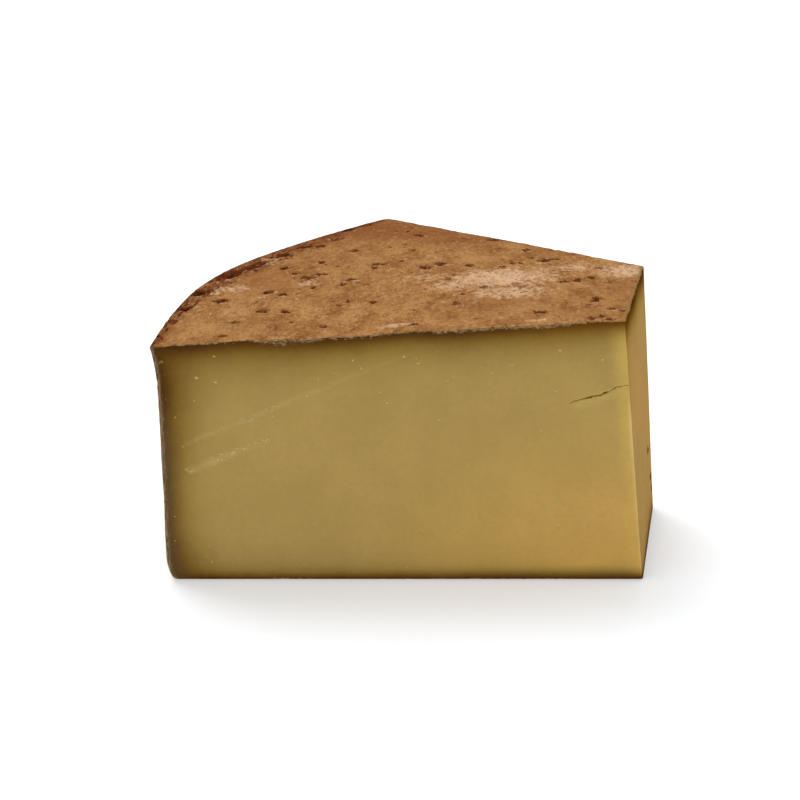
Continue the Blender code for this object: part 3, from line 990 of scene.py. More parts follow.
@dataclass(frozen=True)
class Split:
    """The jagged split that runs in from the edge between the front cut and the nose.

    Its line is rows of radius and height, its openness is by share of the way, and its section is
    rows of depth and half width.
    """

    line: Rows = (
        (0.1339, 0.0877), (0.1262, 0.0904), (0.1198, 0.0920), (0.1173, 0.0926), (0.1147, 0.0943),
        (0.1100, 0.0965), (0.1050, 0.0970), (0.0960, 0.0974),
    )
    openness: Rows = (
        (0.0, 0.3), (0.12, 0.8), (0.30, 0.9), (0.45, 1.0), (0.52, 0.2), (0.60, 0.7), (0.75, 0.5),
        (1.0, 0.0),
    )
    section: Rows = ((0.0, 1.0), (0.25, 0.6), (1.0, 0.12))
    opening: float = 1.30 * MM
    depth: float = 0.9 * MM
    outside: float = 2.0 * MM
    pieces: int = 110
    jag: float = 0.90 * MM
    nick: float = 0.50 * MM
    seed: int = 23

    def cutter(self, form: WedgeForm) -> bpy.types.Object:
        """Return the blade that cuts the split.

        Its section is a wedge that narrows inwards. The line between the named places is straight,
        with a lumpy field added to its height, and its width is wide and narrow by turns.

        Args:
            form: Places the blade on the front cut.

        Returns:
            A closed mesh object whose faces take the split's material slot.
        """
        share = np.linspace(0.0, 1.0, self.pieces + 1)
        knots = np.linspace(0.0, 1.0, len(self.line))
        radius, height = (np.interp(share, knots, values) for values in zip(*self.line))
        wander, column = LumpyField(self.seed), columns(radius, 0.0, 0.0)
        height = height + wander.relief(column, ((2.2 * MM, self.jag, 2), (0.9 * MM, self.nick, 1)))
        grown = 0.15 + 0.85 * read_off(self.openness, share)
        half = self.opening / 2.0 * grown * (1.0 + 0.8 * wander.at(column + 1.0, 1.3 * MM, 2))
        side = [(np.full_like(share, -self.outside), 1.0)]
        side += [(way * (self.depth * grown), width) for way, width in self.section]
        loop = [(inward, -width) for inward, width in side] + side[::-1]
        rows = [form.place(radius, 0.0, height + half * width) for _, width in loop]
        grid = np.stack(rows, axis=1)
        grid[:, :, 1] += np.stack([inward for inward, _ in loop], axis=1)
        number = np.arange(grid.shape[0] * grid.shape[1]).reshape(grid.shape[:2])
        caps = [number[0].tolist(), number[-1, ::-1].tolist()]
        obj = new_mesh_object("split_cutter", grid.reshape(-1, 3), tube_cells(number).tolist() + caps)
        self.point_outwards(obj.data)
        obj.data.polygons.foreach_set("material_index", np.full(len(obj.data.polygons), Look.SPLIT.value))
        return obj

    @staticmethod
    def point_outwards(mesh: bpy.types.Mesh) -> None:
        """Turn all faces of a closed mesh outwards.

        Args:
            mesh: The mesh.
        """
        shape = bmesh.new()
        shape.from_mesh(mesh)
        bmesh.ops.recalc_face_normals(shape, faces=shape.faces)
        shape.to_mesh(mesh)
        shape.free()


@dataclass(frozen=True)
class LumpTemplate:
    """A rounded lump as a grid of rings round an axis, closed by a point at each end."""

    rings: int = 3
    sides: int = 6

    def points(self) -> Array:
        """Return the lump's points: (sin a cos b, sin a sin b, cos a) for ring a and side b.

        Returns:
            The rings' points, then the two ends.
        """
        fall = np.pi * np.arange(1, self.rings + 1) / (self.rings + 1)
        turn = 2.0 * np.pi * np.arange(self.sides) / self.sides
        a, b = (grid.ravel() for grid in np.meshgrid(fall, turn, indexing="ij"))
        body = columns(np.sin(a) * np.cos(b), np.sin(a) * np.sin(b), np.cos(a))
        return np.concatenate([body, [[0.0, 0.0, 1.0], [0.0, 0.0, -1.0]]])

    def faces(self) -> tuple[Whole, Whole]:
        """Return the lump's faces.

        Returns:
            Its four-sided cells and the triangles of its two ends.
        """
        number = np.arange(self.rings * self.sides).reshape(self.rings, self.sides)
        after = np.roll(number, -1, axis=1)
        cap = columns(number.size, number[0], after[0])
        sole = columns(after[-1], number[-1], number.size + 1)
        return tube_cells(number), np.concatenate([cap, sole])


@dataclass
class Lumps:
    """Where a kind of lump lies: one row for each lump, or one direction for all.

    Sizes are half sizes, the last one along the normal. Tones are shades from 0 to 1. Without its
    own long direction, each lump is turned at random in the surface.
    """

    centres: Array
    normals: Array
    sizes: Array
    tones: Array
    along: Array | None = None

    def __post_init__(self) -> None:
        """Give each lump directions of its own."""
        self.normals = np.broadcast_to(self.normals, self.centres.shape)
        self.along = None if self.along is None else np.broadcast_to(self.along, self.centres.shape)

    def and_more(self, other: Lumps) -> Lumps:
        """Return these lumps and others, all with their own long direction."""
        pairs = ((getattr(self, name), getattr(other, name)) for name in self.__dataclass_fields__)
        return Lumps(*(np.concatenate(pair) for pair in pairs))

    def joined(self, name: str, seed: int, ragged: float) -> bpy.types.Object:
        """Return all lumps as one object.

        Each lump is the template scaled along its own three directions, with each point pushed in
        or out at random.

        Args:
            name: The object's name.
            seed: Starts the random draws.
            ragged: How far points are pushed, as a share of the size.

        Returns:
            The object, with the tones as its mark "tone".
        """
        draw, count = np.random.default_rng(seed), len(self.centres)
        normals = unit(self.normals)
        if self.along is None:
            turn = draw.uniform(0.0, 2.0 * np.pi, (count, 1))
            side = unit(np.cross(normals, np.array([0.31, 0.52, 0.79])))
            first = side * np.cos(turn) + np.cross(normals, side) * np.sin(turn)
        else:
            first = unit(self.along)
        template = LumpTemplate()
        shape = template.points()
        uneven = 1.0 + ragged * draw.uniform(-1.0, 1.0, (count, len(shape), 1))
        local = shape[None] * self.sizes[:, None, :] * uneven
        frames = np.stack([first, np.cross(normals, first), normals], axis=1)
        points = self.centres[:, None, :] + np.einsum("npi,nij->npj", local, frames)
        shift = (np.arange(count) * len(shape))[:, None, None]
        faces: list[list[int]] = []
        for kind in template.faces():
            faces += (kind + shift).reshape(-1, kind.shape[1]).tolist()
        obj = new_mesh_object(name, points.reshape(-1, 3), faces)
        add_marks(obj.data, {"tone": np.repeat(self.tones, len(shape))})
        return obj


class Value:
    """A node's output. Plus, minus, times and divided by add Math nodes to its tree."""

    def __init__(self, make: Shading, socket: bpy.types.NodeSocket) -> None:
        """Keep the output and the node calls of its tree."""
        self.make, self.socket = make, socket

    def __add__(self, other: Value | float) -> Value:
        """Return the sum."""
        return self.make.math("ADD", self, other)

    def __sub__(self, other: Value | float) -> Value:
        """Return this less another."""
        return self.make.math("SUBTRACT", self, other)

    def __rsub__(self, other: float) -> Value:
        """Return a number less this."""
        return self.make.math("SUBTRACT", other, self)

    def __mul__(self, other: Value | float) -> Value:
        """Return the product."""
        return self.make.math("MULTIPLY", self, other)

    def __truediv__(self, other: Value | float) -> Value:
        """Return this divided by another."""
        return self.make.math("DIVIDE", self, other)

    def __rtruediv__(self, other: float) -> Value:
        """Return a number divided by this."""
        return self.make.math("DIVIDE", other, self)

    def ranged(self, low: float, high: float, start: float = 0.0, end: float = 1.0) -> Value:
        """Return the value eased from the range low to high to the range start to end."""
        inputs = {"Value": self, "From Min": low, "From Max": high, "To Min": start, "To Max": end}
        return self.make.out("ShaderNodeMapRange", inputs, interpolation_type="SMOOTHSTEP")

    def stretched(self, *factors: float) -> Value:
        """Return a place multiplied along each axis."""
        return self.make.out("ShaderNodeVectorMath", {0: self, 1: factors}, operation="MULTIPLY")


Inputs = dict[str | int, object]
Coats = tuple[tuple[Value, Value | Colour], ...]


class Shading:
    """Short calls that add nodes to one node tree."""

    def __init__(self, tree: bpy.types.NodeTree) -> None:
        """Keep the tree."""
        self.tree = tree

    def fill(self, node: bpy.types.Node, inputs: Inputs) -> None:
        """Link or set a node's inputs. A colour is set as an opaque one.

        Args:
            node: A node of the tree.
            inputs: What goes into each input, by its name or number.
        """
        for name, value in inputs.items():
            socket = node.inputs[name]
            if isinstance(value, Value):
                self.tree.links.new(value.socket, socket)
            else:
                socket.default_value = (*value, 1.0) if socket.type == "RGBA" else value

    def outs(self, kind: str, inputs: Inputs, **settings: object) -> list[Value]:
        """Add a node.

        Args:
            kind: The node's type name.
            inputs: What goes into each of its inputs.
            **settings: The node's own settings, set before its inputs.

        Returns:
            The node's outputs.
        """
        made = self.tree.nodes.new(kind)
        for name, value in settings.items():
            setattr(made, name, value)
        self.fill(made, inputs)
        return [Value(self, socket) for socket in made.outputs]

    def out(self, kind: str, inputs: Inputs, number: int = 0, **settings: object) -> Value:
        """Add a node and return one of its outputs."""
        return self.outs(kind, inputs, **settings)[number]

    def effect(self, tree: bpy.types.NodeTree, **inputs: object) -> list[Value]:
        """Place a shared node group with its own values and return its outputs."""
        return self.outs("ShaderNodeGroup", inputs, node_tree=tree)

    def math(self, operation: str, *values: Value | float) -> Value:
        """Return the output of a Math node."""
        return self.out("ShaderNodeMath", dict(enumerate(values)), operation=operation)

    def held(self, value: Value) -> Value:
        """Return a value held between 0 and 1."""
        return self.out("ShaderNodeClamp", {"Value": value})

    def mark(self, name: str) -> Value:
        """Return a mark that is stored on the piece."""
        return self.out("ShaderNodeAttribute", {}, 2, attribute_name=name)

    def noise(self, place: Value, size: Value | float, detail: float = 2.0, rough: float = 0.5) -> Value:
        """Return noise whose lumps are a size apart."""
        inputs = {"Vector": place, "Scale": 1.0 / size, "Detail": detail, "Roughness": rough}
        return self.out("ShaderNodeTexNoise", inputs)

    def blend(self, share: Value, first: Value | Colour, second: Value | Colour) -> Value:
        """Return two colours blended by a share."""
        return self.out("ShaderNodeMix", {0: share, 6: first, 7: second}, 2, data_type="RGBA")

    def coated(self, colour: Value, coats: Coats) -> Value:
        """Lay colours over one another.

        Args:
            colour: The lowest one.
            coats: How much each one covers, and its colour.

        Returns:
            The colour that shows.
        """
        for share, tint in coats:
            colour = self.blend(share, colour, tint)
        return colour

    def ramp(self, value: Value, stops: tuple[tuple[float, Colour], ...]) -> Value:
        """Return a colour that runs through stops as a value grows.

        Args:
            value: What picks the colour.
            stops: Values, with the colour at each.

        Returns:
            The colour.
        """
        made = self.tree.nodes.new("ShaderNodeValToRGB")
        self.fill(made, {"Fac": value})
        elements = made.color_ramp.elements
        while len(elements) < len(stops):
            elements.new(1.0)
        for element, (at, colour) in zip(elements, stops):
            element.position = at
            element.color = (*colour, 1.0)
        return Value(self, made.outputs["Color"])


def linear(red: int, green: int, blue: int) -> Colour:
    """Return the linear colour of a screen colour given as whole numbers up to 255."""
    shares = (channel / 255.0 for channel in (red, green, blue))
    return tuple(((s + 0.055) / 1.055) ** 2.4 if s > 0.04045 else s / 12.92 for s in shares)


def new_material(name: str) -> tuple[bpy.types.Material, Shading, bpy.types.Node]:
    """Return a new material.

    Args:
        name: Its name.

    Returns:
        The material, the node calls of its tree, and its shader.
    """
    material = bpy.data.materials.new(name)
    material.use_nodes = True
    return material, Shading(material.node_tree), material.node_tree.nodes["Principled BSDF"]


class Effects:
    """The node groups that more than one material uses, each built once."""

    def __init__(self) -> None:
        """Build the groups."""
        self.mottle = self.mottle_group()
        self.specks = self.speck_group()
        self.scratch = self.scratch_group()

    @staticmethod
    def start(name: str, numbers: dict[str, float], *results: str) -> tuple[Shading, list[Value]]:
        """Start a group that takes a place and some numbers.

        Args:
            name: The group's name.
            numbers: The number inputs with their usual values.
            *results: The names of what it puts out.

        Returns:
            Node calls for the group, and its inputs.
        """
        tree = bpy.data.node_groups.new(name, "ShaderNodeTree")
        tree.interface.new_socket("Place", in_out="INPUT", socket_type="NodeSocketVector")
        for number, usual in numbers.items():
            socket = tree.interface.new_socket(number, in_out="INPUT", socket_type="NodeSocketFloat")
            socket.default_value = usual
        for result in results:
            tree.interface.new_socket(result, in_out="OUTPUT", socket_type="NodeSocketFloat")
        make = Shading(tree)
        return make, make.outs("NodeGroupInput", {})

    def mottle_group(self) -> bpy.types.NodeTree:
        """Build a group of soft blotches with finer grain in them.

        Returns:
            The group, which puts out the blotches with their grain, and the grain alone.
        """
        numbers = {"Size": 0.02, "Strength": 0.3}
        make, (place, size, strength, _) = self.start("mottle", numbers, "Blotch", "Grain")
        fine = make.noise(place, size / 17.0)
        blotch = (fine - 0.5) * strength + make.noise(place, size, 5.0, 0.55)
        make.outs("NodeGroupOutput", {"Blotch": blotch, "Grain": fine})
        return make.tree

    def speck_group(self) -> bpy.types.NodeTree:
        """Build a group of small scattered specks: cells whose middle is near, some of them kept.

        Returns:
            The group, which puts out 1 inside a speck.
        """
        numbers = {"Spacing": 0.01, "Radius": 0.1, "Share": 0.5}
        make, (place, spacing, radius, share, _) = self.start("specks", numbers, "Mask")
        away, colour, *_ = make.outs("ShaderNodeTexVoronoi", {"Vector": place, "Scale": 1.0 / spacing})
        chance, growth, _ = make.outs("ShaderNodeSeparateColor", {"Color": colour})
        inside = make.held((1.0 - away / (radius * (growth + 0.4))) * 2.0)
        make.outs("NodeGroupOutput", {"Mask": inside * make.math("LESS_THAN", chance, share)})
        return make.tree

    def scratch_group(self) -> bpy.types.NodeTree:
        """Build a group of a thin broken line where the height above it is close to nothing.

        Returns:
            The group, which puts out 1 on the line.
        """
        numbers = {"Above": 1.0, "Way": 0.0, "Width": 0.0004}
        make, (place, above, way, width, _) = self.start("scratch", numbers, "Line")
        bend = (make.noise(place, 0.012) - 0.5) * 0.0030
        line = make.held(1.0 - make.math("ABSOLUTE", above + bend) / width)
        kept = make.noise(place, 0.005, 3.0).ranged(0.40, 0.62, 0.50)
        ends = way.ranged(0.0, 0.10) * way.ranged(0.40, 1.15, 1.0, 0.0)
        make.outs("NodeGroupOutput", {"Line": line * kept * ends})
        return make.tree


@dataclass(frozen=True)
class Finish:
    """What every finish has, with how far the grain makes its roughness lower and higher."""

    name: str
    roughness: float
    swing: tuple[float, float] = (-0.06, 0.08)
    bump: float = 0.08 * MM
    glow: float = 0.0
    glow_radius: Colour = (0.0030, 0.0018, 0.0006)
    shine: float = 0.15

    def surface(self, make: Shading, effects: Effects, place: Value) -> tuple[Value, Value, Value]:
        """Return the colour, the grain and the bump's height. Each finish has its own."""
        raise NotImplementedError

    def material(self, effects: Effects) -> bpy.types.Material:
        """Return the finish's material.

        Args:
            effects: The shared node groups.

        Returns:
            A material with a soft glow under the surface and what surface() says on it.
        """
        material, make, shader = new_material(self.name)
        place = make.out("ShaderNodeTexCoord", {}, 3)
        colour, grain, height = self.surface(make, effects, place)
        smoothest, roughest = (self.roughness + change for change in self.swing)
        bump = {"Height": height, "Distance": self.bump, "Strength": 1.0}
        make.fill(shader, {
            "Specular IOR Level": self.shine,
            "Subsurface Weight": self.glow,
            "Subsurface Radius": self.glow_radius,
            "Subsurface Scale": 1.0,
            "Base Color": colour,
            "Roughness": grain.ranged(0.3, 0.7, smoothest, roughest),
            "Normal": make.out("ShaderNodeBump", bump),
        })
        return material


@dataclass(frozen=True)
class PasteFinish(Finish):
    """The cut paste: straw yellow and browning towards the rind, with a painted highlight along its
    thin edges, a painted pool of light low in the nose's half, and pale scratch lines that are
    partly a painted highlight.

    Scratches are rows of the scratch's number, its width and its strength. Each is a pale smear
    with a painted highlight on its raised ridge.
    """

    below_rind: tuple[tuple[float, Colour], ...] = (
        (0.000, linear(60, 32, 3)),
        (0.030, linear(76, 45, 5)),
        (0.060, linear(88, 56, 10)),
        (0.100, linear(105, 74, 22)),
        (0.150, linear(124, 95, 36)),
        (0.225, linear(140, 112, 53)),
        (0.300, linear(151, 124, 63)),
        (0.425, linear(161, 134, 73)),
        (0.600, linear(168, 140, 79)),
        (0.975, linear(173, 144, 82)),
    )
    reach: float = 40 * MM
    # Painted highlight along the thin edges.
    edge_highlight_tint: Colour = linear(206, 174, 86)
    edge_highlight_share: float = 0.55
    ridge_highlight_share: float = 0.40
    fleck_share: float = 0.45
    heel_share: float = 0.42
    amber_share: float = 0.26
    rim_share: float = 0.85
    spot_share: float = 0.85
    # Painted light: tint and share of a brighter pool low in the nose's half.
    painted_light_tint: Colour = linear(206, 164, 84)
    painted_light_share: float = 0.8
    # Painted highlight at the ridge of the edges, near the top.
    ridge_highlight_tint: Colour = linear(222, 200, 146)
    groove_tints: tuple[Colour, Colour] = (linear(160, 126, 73), linear(169, 124, 69))
    grooved: float = 0.0
    spot_tint: Colour = linear(84, 46, 14)
    fleck_tint: Colour = linear(190, 168, 112)
    heel_tint: Colour = linear(106, 90, 60)
    amber_tint: Colour = linear(136, 84, 8)
    halo_tint: Colour = linear(192, 170, 98)
    dry_rim: Colour = linear(172, 142, 102)
    burnt_rim: Colour = linear(82, 52, 20)
    dusty_rim: Colour = linear(148, 128, 100)
    # Pale smear and painted highlight of the scratch ridges.
    scratch_smear_and_highlight: Colour = linear(206, 182, 122)
    scratches: tuple[tuple[int, float, float], ...] = ()

    def surface(self, make: Shading, effects: Effects, place: Value) -> tuple[Value, Value, Value]:
        """Return what the paste's shader is fed.

        Args:
            make: Node calls for the material.
            effects: The shared node groups.
            place: Object coordinates.

        Returns:
            Colour, grain and the bump's height.
        """
        blotch, grain = make.effect(effects.mottle, Place=place, Size=0.030, Strength=0.25)
        depth = make.mark("depth") / self.reach
        inner = depth.ranged(0.03, 0.40)
        upright = place.stretched(1.0, 1.0, 0.12)
        grooves = make.noise(upright, 0.0080, 4.0, 0.6).ranged(0.30, 0.70)
        spot = (make.noise(place, 0.0026, 4.0, 0.7) - 0.5) * 1.7 + make.mark("spot")
        colour = make.coated(make.ramp((blotch - 0.5) * 0.07 + depth, self.below_rind), (
            # Painted highlight along the thin edges, brightest at the ridge.
            (make.mark("edge") * inner * self.edge_highlight_share, self.edge_highlight_tint),
            # Painted light: a brighter pool low in the nose's half.
            (make.mark("painted_light") * inner * self.painted_light_share, self.painted_light_tint),
            (make.mark("ridge") * inner * self.ridge_highlight_share, self.ridge_highlight_tint),
            (inner * self.grooved, make.blend(grooves, *self.groove_tints)),
            (spot.ranged(0.25, 0.7, 0.0, self.spot_share), self.spot_tint),
        ))
        cloud = (blotch + make.noise(place, 0.0035, 3.0, 0.7) * 0.5).ranged(0.5, 1.0, 0.945, 1.055)
        colour = make.out("ShaderNodeVectorMath", {0: colour, "Scale": cloud}, operation="SCALE")
        specks = make.effect(effects.specks, Place=place, Spacing=0.008, Radius=0.09, Share=0.35)[0]
        bloomed = make.noise(place, 0.0030, 3.0, 0.6).ranged(0.30, 0.65, 0.10, 0.45)
        ragged = (make.noise(place, 0.0060, 5.0, 0.65) - 0.5) * 4.5
        inside = depth / (make.mark("fringe") * 0.028 + 0.010) + ragged
        streaks = make.noise(place.stretched(0.4, 0.4, 1.2), 0.0009, 4.0, 0.65).ranged(0.38, 0.62)
        rim_tint = make.blend(streaks, self.burnt_rim, self.dry_rim)
        dust = make.noise(upright, 0.0008, 4.0, 0.7).ranged(0.38, 0.58, 0.05, 0.80)
        colour = make.coated(colour, (
            (specks * self.fleck_share, self.fleck_tint),
            (make.mark("grey") * self.heel_share, self.heel_tint),
            (make.mark("amber") * self.amber_share, self.amber_tint),
            (make.mark("halo") * bloomed, self.halo_tint),
            (inside.ranged(0.4, 1.2, self.rim_share, 0.0), rim_tint),
            (make.mark("heel_gap").ranged(0.0002, 0.0030, 1.0, 0.0) * dust, self.dusty_rim),
        ))
        height = make.noise(place, 0.0016, 3.0) + make.noise(place, 0.009)
        # Each scratch is a pale smear with a painted highlight on its raised ridge.
        for number, width, strength in self.scratches:
            above, way = make.mark(f"above{number}"), make.mark(f"way{number}")
            line = make.effect(effects.scratch, Place=place, Above=above, Way=way, Width=width)[0]
            colour = make.blend(line * strength, colour, self.scratch_smear_and_highlight)
            height = line * 0.8 + height
        return colour, grain, height


@dataclass(frozen=True)
class RindFinish(Finish):
    """The natural rind: mottled tan and brown, with pale bloom that also holds a painted highlight on
    pit lips, and dark hollows: stained, with painted shade in the pits.

    Its patterns are drawn out a little round the wheel, the way that a rind is brushed.
    """

    swing: tuple[float, float] = (-0.08, 0.08)
    bump: float = 0.45 * MM
    tones: tuple[tuple[float, Colour], ...] = (
        (0.30, linear(136, 86, 43)),
        (0.45, linear(154, 105, 58)),
        (0.55, linear(162, 115, 65)),
        (0.70, linear(180, 132, 82)),
    )
    bloom_and_highlight: Colour = linear(208, 172, 136)
    ruddy: Colour = linear(126, 70, 30)
    bare: Colour = linear(150, 110, 52)
    band: Colour = linear(106, 52, 18)
    # Dark of stains and scars, and of the painted shade in the pits, whose heart is darkest.
    stain_and_shade: Colour = linear(98, 40, 6)
    pit_heart: Colour = linear(44, 10, 0)
    frayed: Colour = linear(146, 110, 66)
    grain: Colour = linear(192, 156, 116)
    ruddy_share: float = 0.8
    scar_share: float = 0.60
    chip_share: float = 0.50
    bloom_and_highlight_share: float = 0.95
    grain_share: float = 0.25
    stain_and_shade_share: float = 0.85
    heart_share: float = 0.95
    brushing: tuple[float, float, float] = (1.0, 0.55, 0.8)

    def surface(self, make: Shading, effects: Effects, place: Value) -> tuple[Value, Value, Value]:
        """Return what the rind's shader is fed.

        Args:
            make: Node calls for the material.
            effects: The shared node groups.
            place: Object coordinates.

        Returns:
            Colour, grain and the bump's height.
        """
        brushed = place.stretched(*self.brushing)
        broad, _ = make.effect(effects.mottle, Place=brushed, Size=0.011, Strength=0.8)
        fine, _ = make.effect(effects.mottle, Place=brushed, Size=0.0022, Strength=0.6)
        uneven = fine - 0.5
        tear = make.noise(brushed, 0.0017, 5.0, 0.7) - 0.5
        skin = make.noise(brushed, 0.0042, 5.0, 0.68) - 0.5
        tone = uneven * 0.75 + (tear * 0.35 + broad)
        red = tear * 0.8 + ((broad - 0.5) * 1.4 + make.mark("ruddy"))
        gathered = make.noise(brushed, 0.016).ranged(0.40, 0.60)
        scars = skin.ranged(0.07, 0.16, 0.0, self.scar_share) * gathered
        # The pale coat is bloom and the painted highlight on the pits' near lips.
        pale = skin * 2.2 + (uneven * 1.5 + (tear + make.mark("bloom_and_highlight")))
        grains = make.effect(effects.specks, Place=place, Spacing=0.0030, Radius=0.22, Share=0.30)[0]
        # Painted shade: the pits' dark mark, deepest at the pit heart, stands partly for shade on the far
        # walls; cracks and hollows are darker too.
        stain_and_shade = make.mark("stain_and_shade")
        torn = tear * 1.9 + (uneven * 0.5 + stain_and_shade)
        near = stain_and_shade.ranged(0.02, 0.16)
        deep = torn.ranged(0.26, 0.46, 0.0, self.stain_and_shade_share) * near
        colour = make.coated(make.ramp(tone, self.tones), (
            (red.ranged(0.2, 1.2, 0.0, self.ruddy_share), self.ruddy),
            (make.mark("band") * tone.ranged(0.35, 0.65, 0.95, 0.40), self.band),
            (scars, self.stain_and_shade),
            (skin.ranged(-0.16, -0.07, self.chip_share, 0.0) * gathered, self.grain),
            (pale.ranged(0.20, 1.25, 0.0, self.bloom_and_highlight_share), self.bloom_and_highlight),
            (grains * self.grain_share, self.grain),
            (make.mark("lip") * fine.ranged(0.35, 0.6, 0.2, 0.9), self.frayed),
            (make.mark("bare"), self.bare),
            (deep, self.stain_and_shade),
            (torn.ranged(0.52, 0.86, 0.0, self.heart_share) * near, self.pit_heart),
        ))
        ridges = make.noise(place, 0.0009, 3.0) * 0.4 + make.noise(brushed, 0.0028, 3.0, 0.6)
        return colour, fine, ridges - make.math("MAXIMUM", deep, scars) * 0.6


@dataclass(frozen=True)
class TornFinish(Finish):
    """The torn inside of the split: dark, dry and uneven."""

    swing: tuple[float, float] = (0.0, 0.15)
    bump: float = 0.4 * MM
    light: Colour = linear(178, 138, 50)
    dark: Colour = linear(128, 94, 26)

    def surface(self, make: Shading, effects: Effects, place: Value) -> tuple[Value, Value, Value]:
        """Return the split's colour, grain and bump height, all from the shared mottle."""
        blotch, grain = make.effect(effects.mottle, Place=place, Size=0.003, Strength=0.6)
        return make.blend(blotch.ranged(0.3, 0.7), self.dark, self.light), grain, blotch


@dataclass(frozen=True)
class CrumbFinish(Finish):
    """Loose bits: each one a shade between two colours, with a fine grain."""

    swing: tuple[float, float] = (-0.05, 0.10)
    bump: float = 0.15 * MM
    low: Colour = linear(140, 98, 58)
    high: Colour = linear(210, 180, 134)

    def surface(self, make: Shading, effects: Effects, place: Value) -> tuple[Value, Value, Value]:
        """Return the bits' colour, grain and bump height, from the shared mottle and their tones."""
        blotch, grain = make.effect(effects.mottle, Place=place, Size=0.002, Strength=0.5)
        shade = (blotch - 0.5) * 0.5 + make.mark("tone")
        return make.blend(shade.ranged(0.0, 1.0), self.low, self.high), grain, blotch


@dataclass
class CheeseWedge:
    """The wedge itself: its shell, dressed and split."""

    form: WedgeForm
    shell: WedgeShell
    split: Split = Split()
    sharp_angle: float = math.radians(40.0)
    front: PasteFinish = PasteFinish(
        "cut_paste", 0.50, glow=0.30, shine=0.05, scratches=((0, 1.8 * MM, 0.20), (1, 2.4 * MM, 0.34))
    )
    nose: PasteFinish = PasteFinish(
        "nose_paste", 0.75, glow=0.20, shine=0.0, reach=58 * MM, edge_highlight_share=0.0, painted_light_share=0.0, grooved=0.75
    )
    back: PasteFinish = PasteFinish(
        "back_paste", 0.52, glow=0.30, shine=0.05, scratches=((2, 1.6 * MM, 0.30),)
    )
    rind: RindFinish = RindFinish("washed_rind", 0.78, shine=0.02)
    torn: TornFinish = TornFinish("torn_paste", 0.70)

    def build(self, effects: Effects) -> bpy.types.Object:
        """Return the finished wedge.

        Args:
            effects: The shared node groups.

        Returns:
            The wedge as one object.
        """
        points, faces, looks, marks = self.shell.surface()
        body = new_mesh_object("wedge_body", points, faces)
        body.data.polygons.foreach_set("material_index", looks.astype(np.int32))
        add_marks(body.data, marks)
        finishes = (self.front, self.rind, self.nose, self.back, self.torn)
        materials = [finish.material(effects) for finish in finishes]
        cutter = self.split.cutter(self.form)
        for obj in (body, cutter):
            for material in materials:
                obj.data.materials.append(material)
        self.cut(body, cutter)
        body.data.set_sharp_from_angle(angle=self.sharp_angle)
        return body

    @staticmethod
    def cut(body: bpy.types.Object, cutter: bpy.types.Object) -> None:
        """Take a cutter's space out of a body and remove the cutter.

        Args:
            body: What is cut.
            cutter: What cuts it.
        """
        change = body.modifiers.new("split", "BOOLEAN")
        change.operation = "DIFFERENCE"
        change.solver = "EXACT"
        change.object = cutter
        graph = bpy.context.evaluated_depsgraph_get()
        whole = body.evaluated_get(graph)
        made = bpy.data.meshes.new_from_object(whole, preserve_all_data_layers=True, depsgraph=graph)
        body.modifiers.clear()
        body.data = made
        bpy.data.objects.remove(cutter)


@dataclass
class LooseBits:
    """What every kind of loose bit has: the shell that it lies on, its draws, sizes and finish.

    Size is the range of the half width, stretch that of the length as a share of the width, and
    flatness the height's share. Tone is the middle and the spread of the shades.
    """

    shell: WedgeShell
    name: str = "loose_bits"
    seed: int = 0
    ragged: float = 0.35
    size: tuple[float, float] = (0.14 * MM, 0.42 * MM)
    stretch: tuple[float, float] = (1.0, 1.6)
    flatness: float = 0.35
    tone: tuple[float, float] = (0.5, 0.25)
    finish: CrumbFinish = CrumbFinish("loose_bit", 0.80)

    def lumps(self, draw: np.random.Generator) -> Lumps:
        """Return where the bits lie. Each kind has its own."""
        raise NotImplementedError

    def sizes(self, half: Array, draw: np.random.Generator) -> Array:
        """Return the half sizes of bits of some half widths, each stretched by a random share."""
        return columns(half * draw.uniform(*self.stretch, len(half)), half, self.flatness * half)

    def shades(self, count: int, draw: np.random.Generator) -> Array:
        """Return random shades from 0 to 1."""
        return np.clip(draw.normal(*self.tone, count), 0.0, 1.0)

    def build(self, effects: Effects) -> bpy.types.Object:
        """Return the bits.

        Args:
            effects: The shared node groups.

        Returns:
            The bits as one object.
        """
        lumps = self.lumps(np.random.default_rng(self.seed))
        obj = lumps.joined(self.name, self.seed + 1, self.ragged)
        obj.data.materials.append(self.finish.material(effects))
        return obj


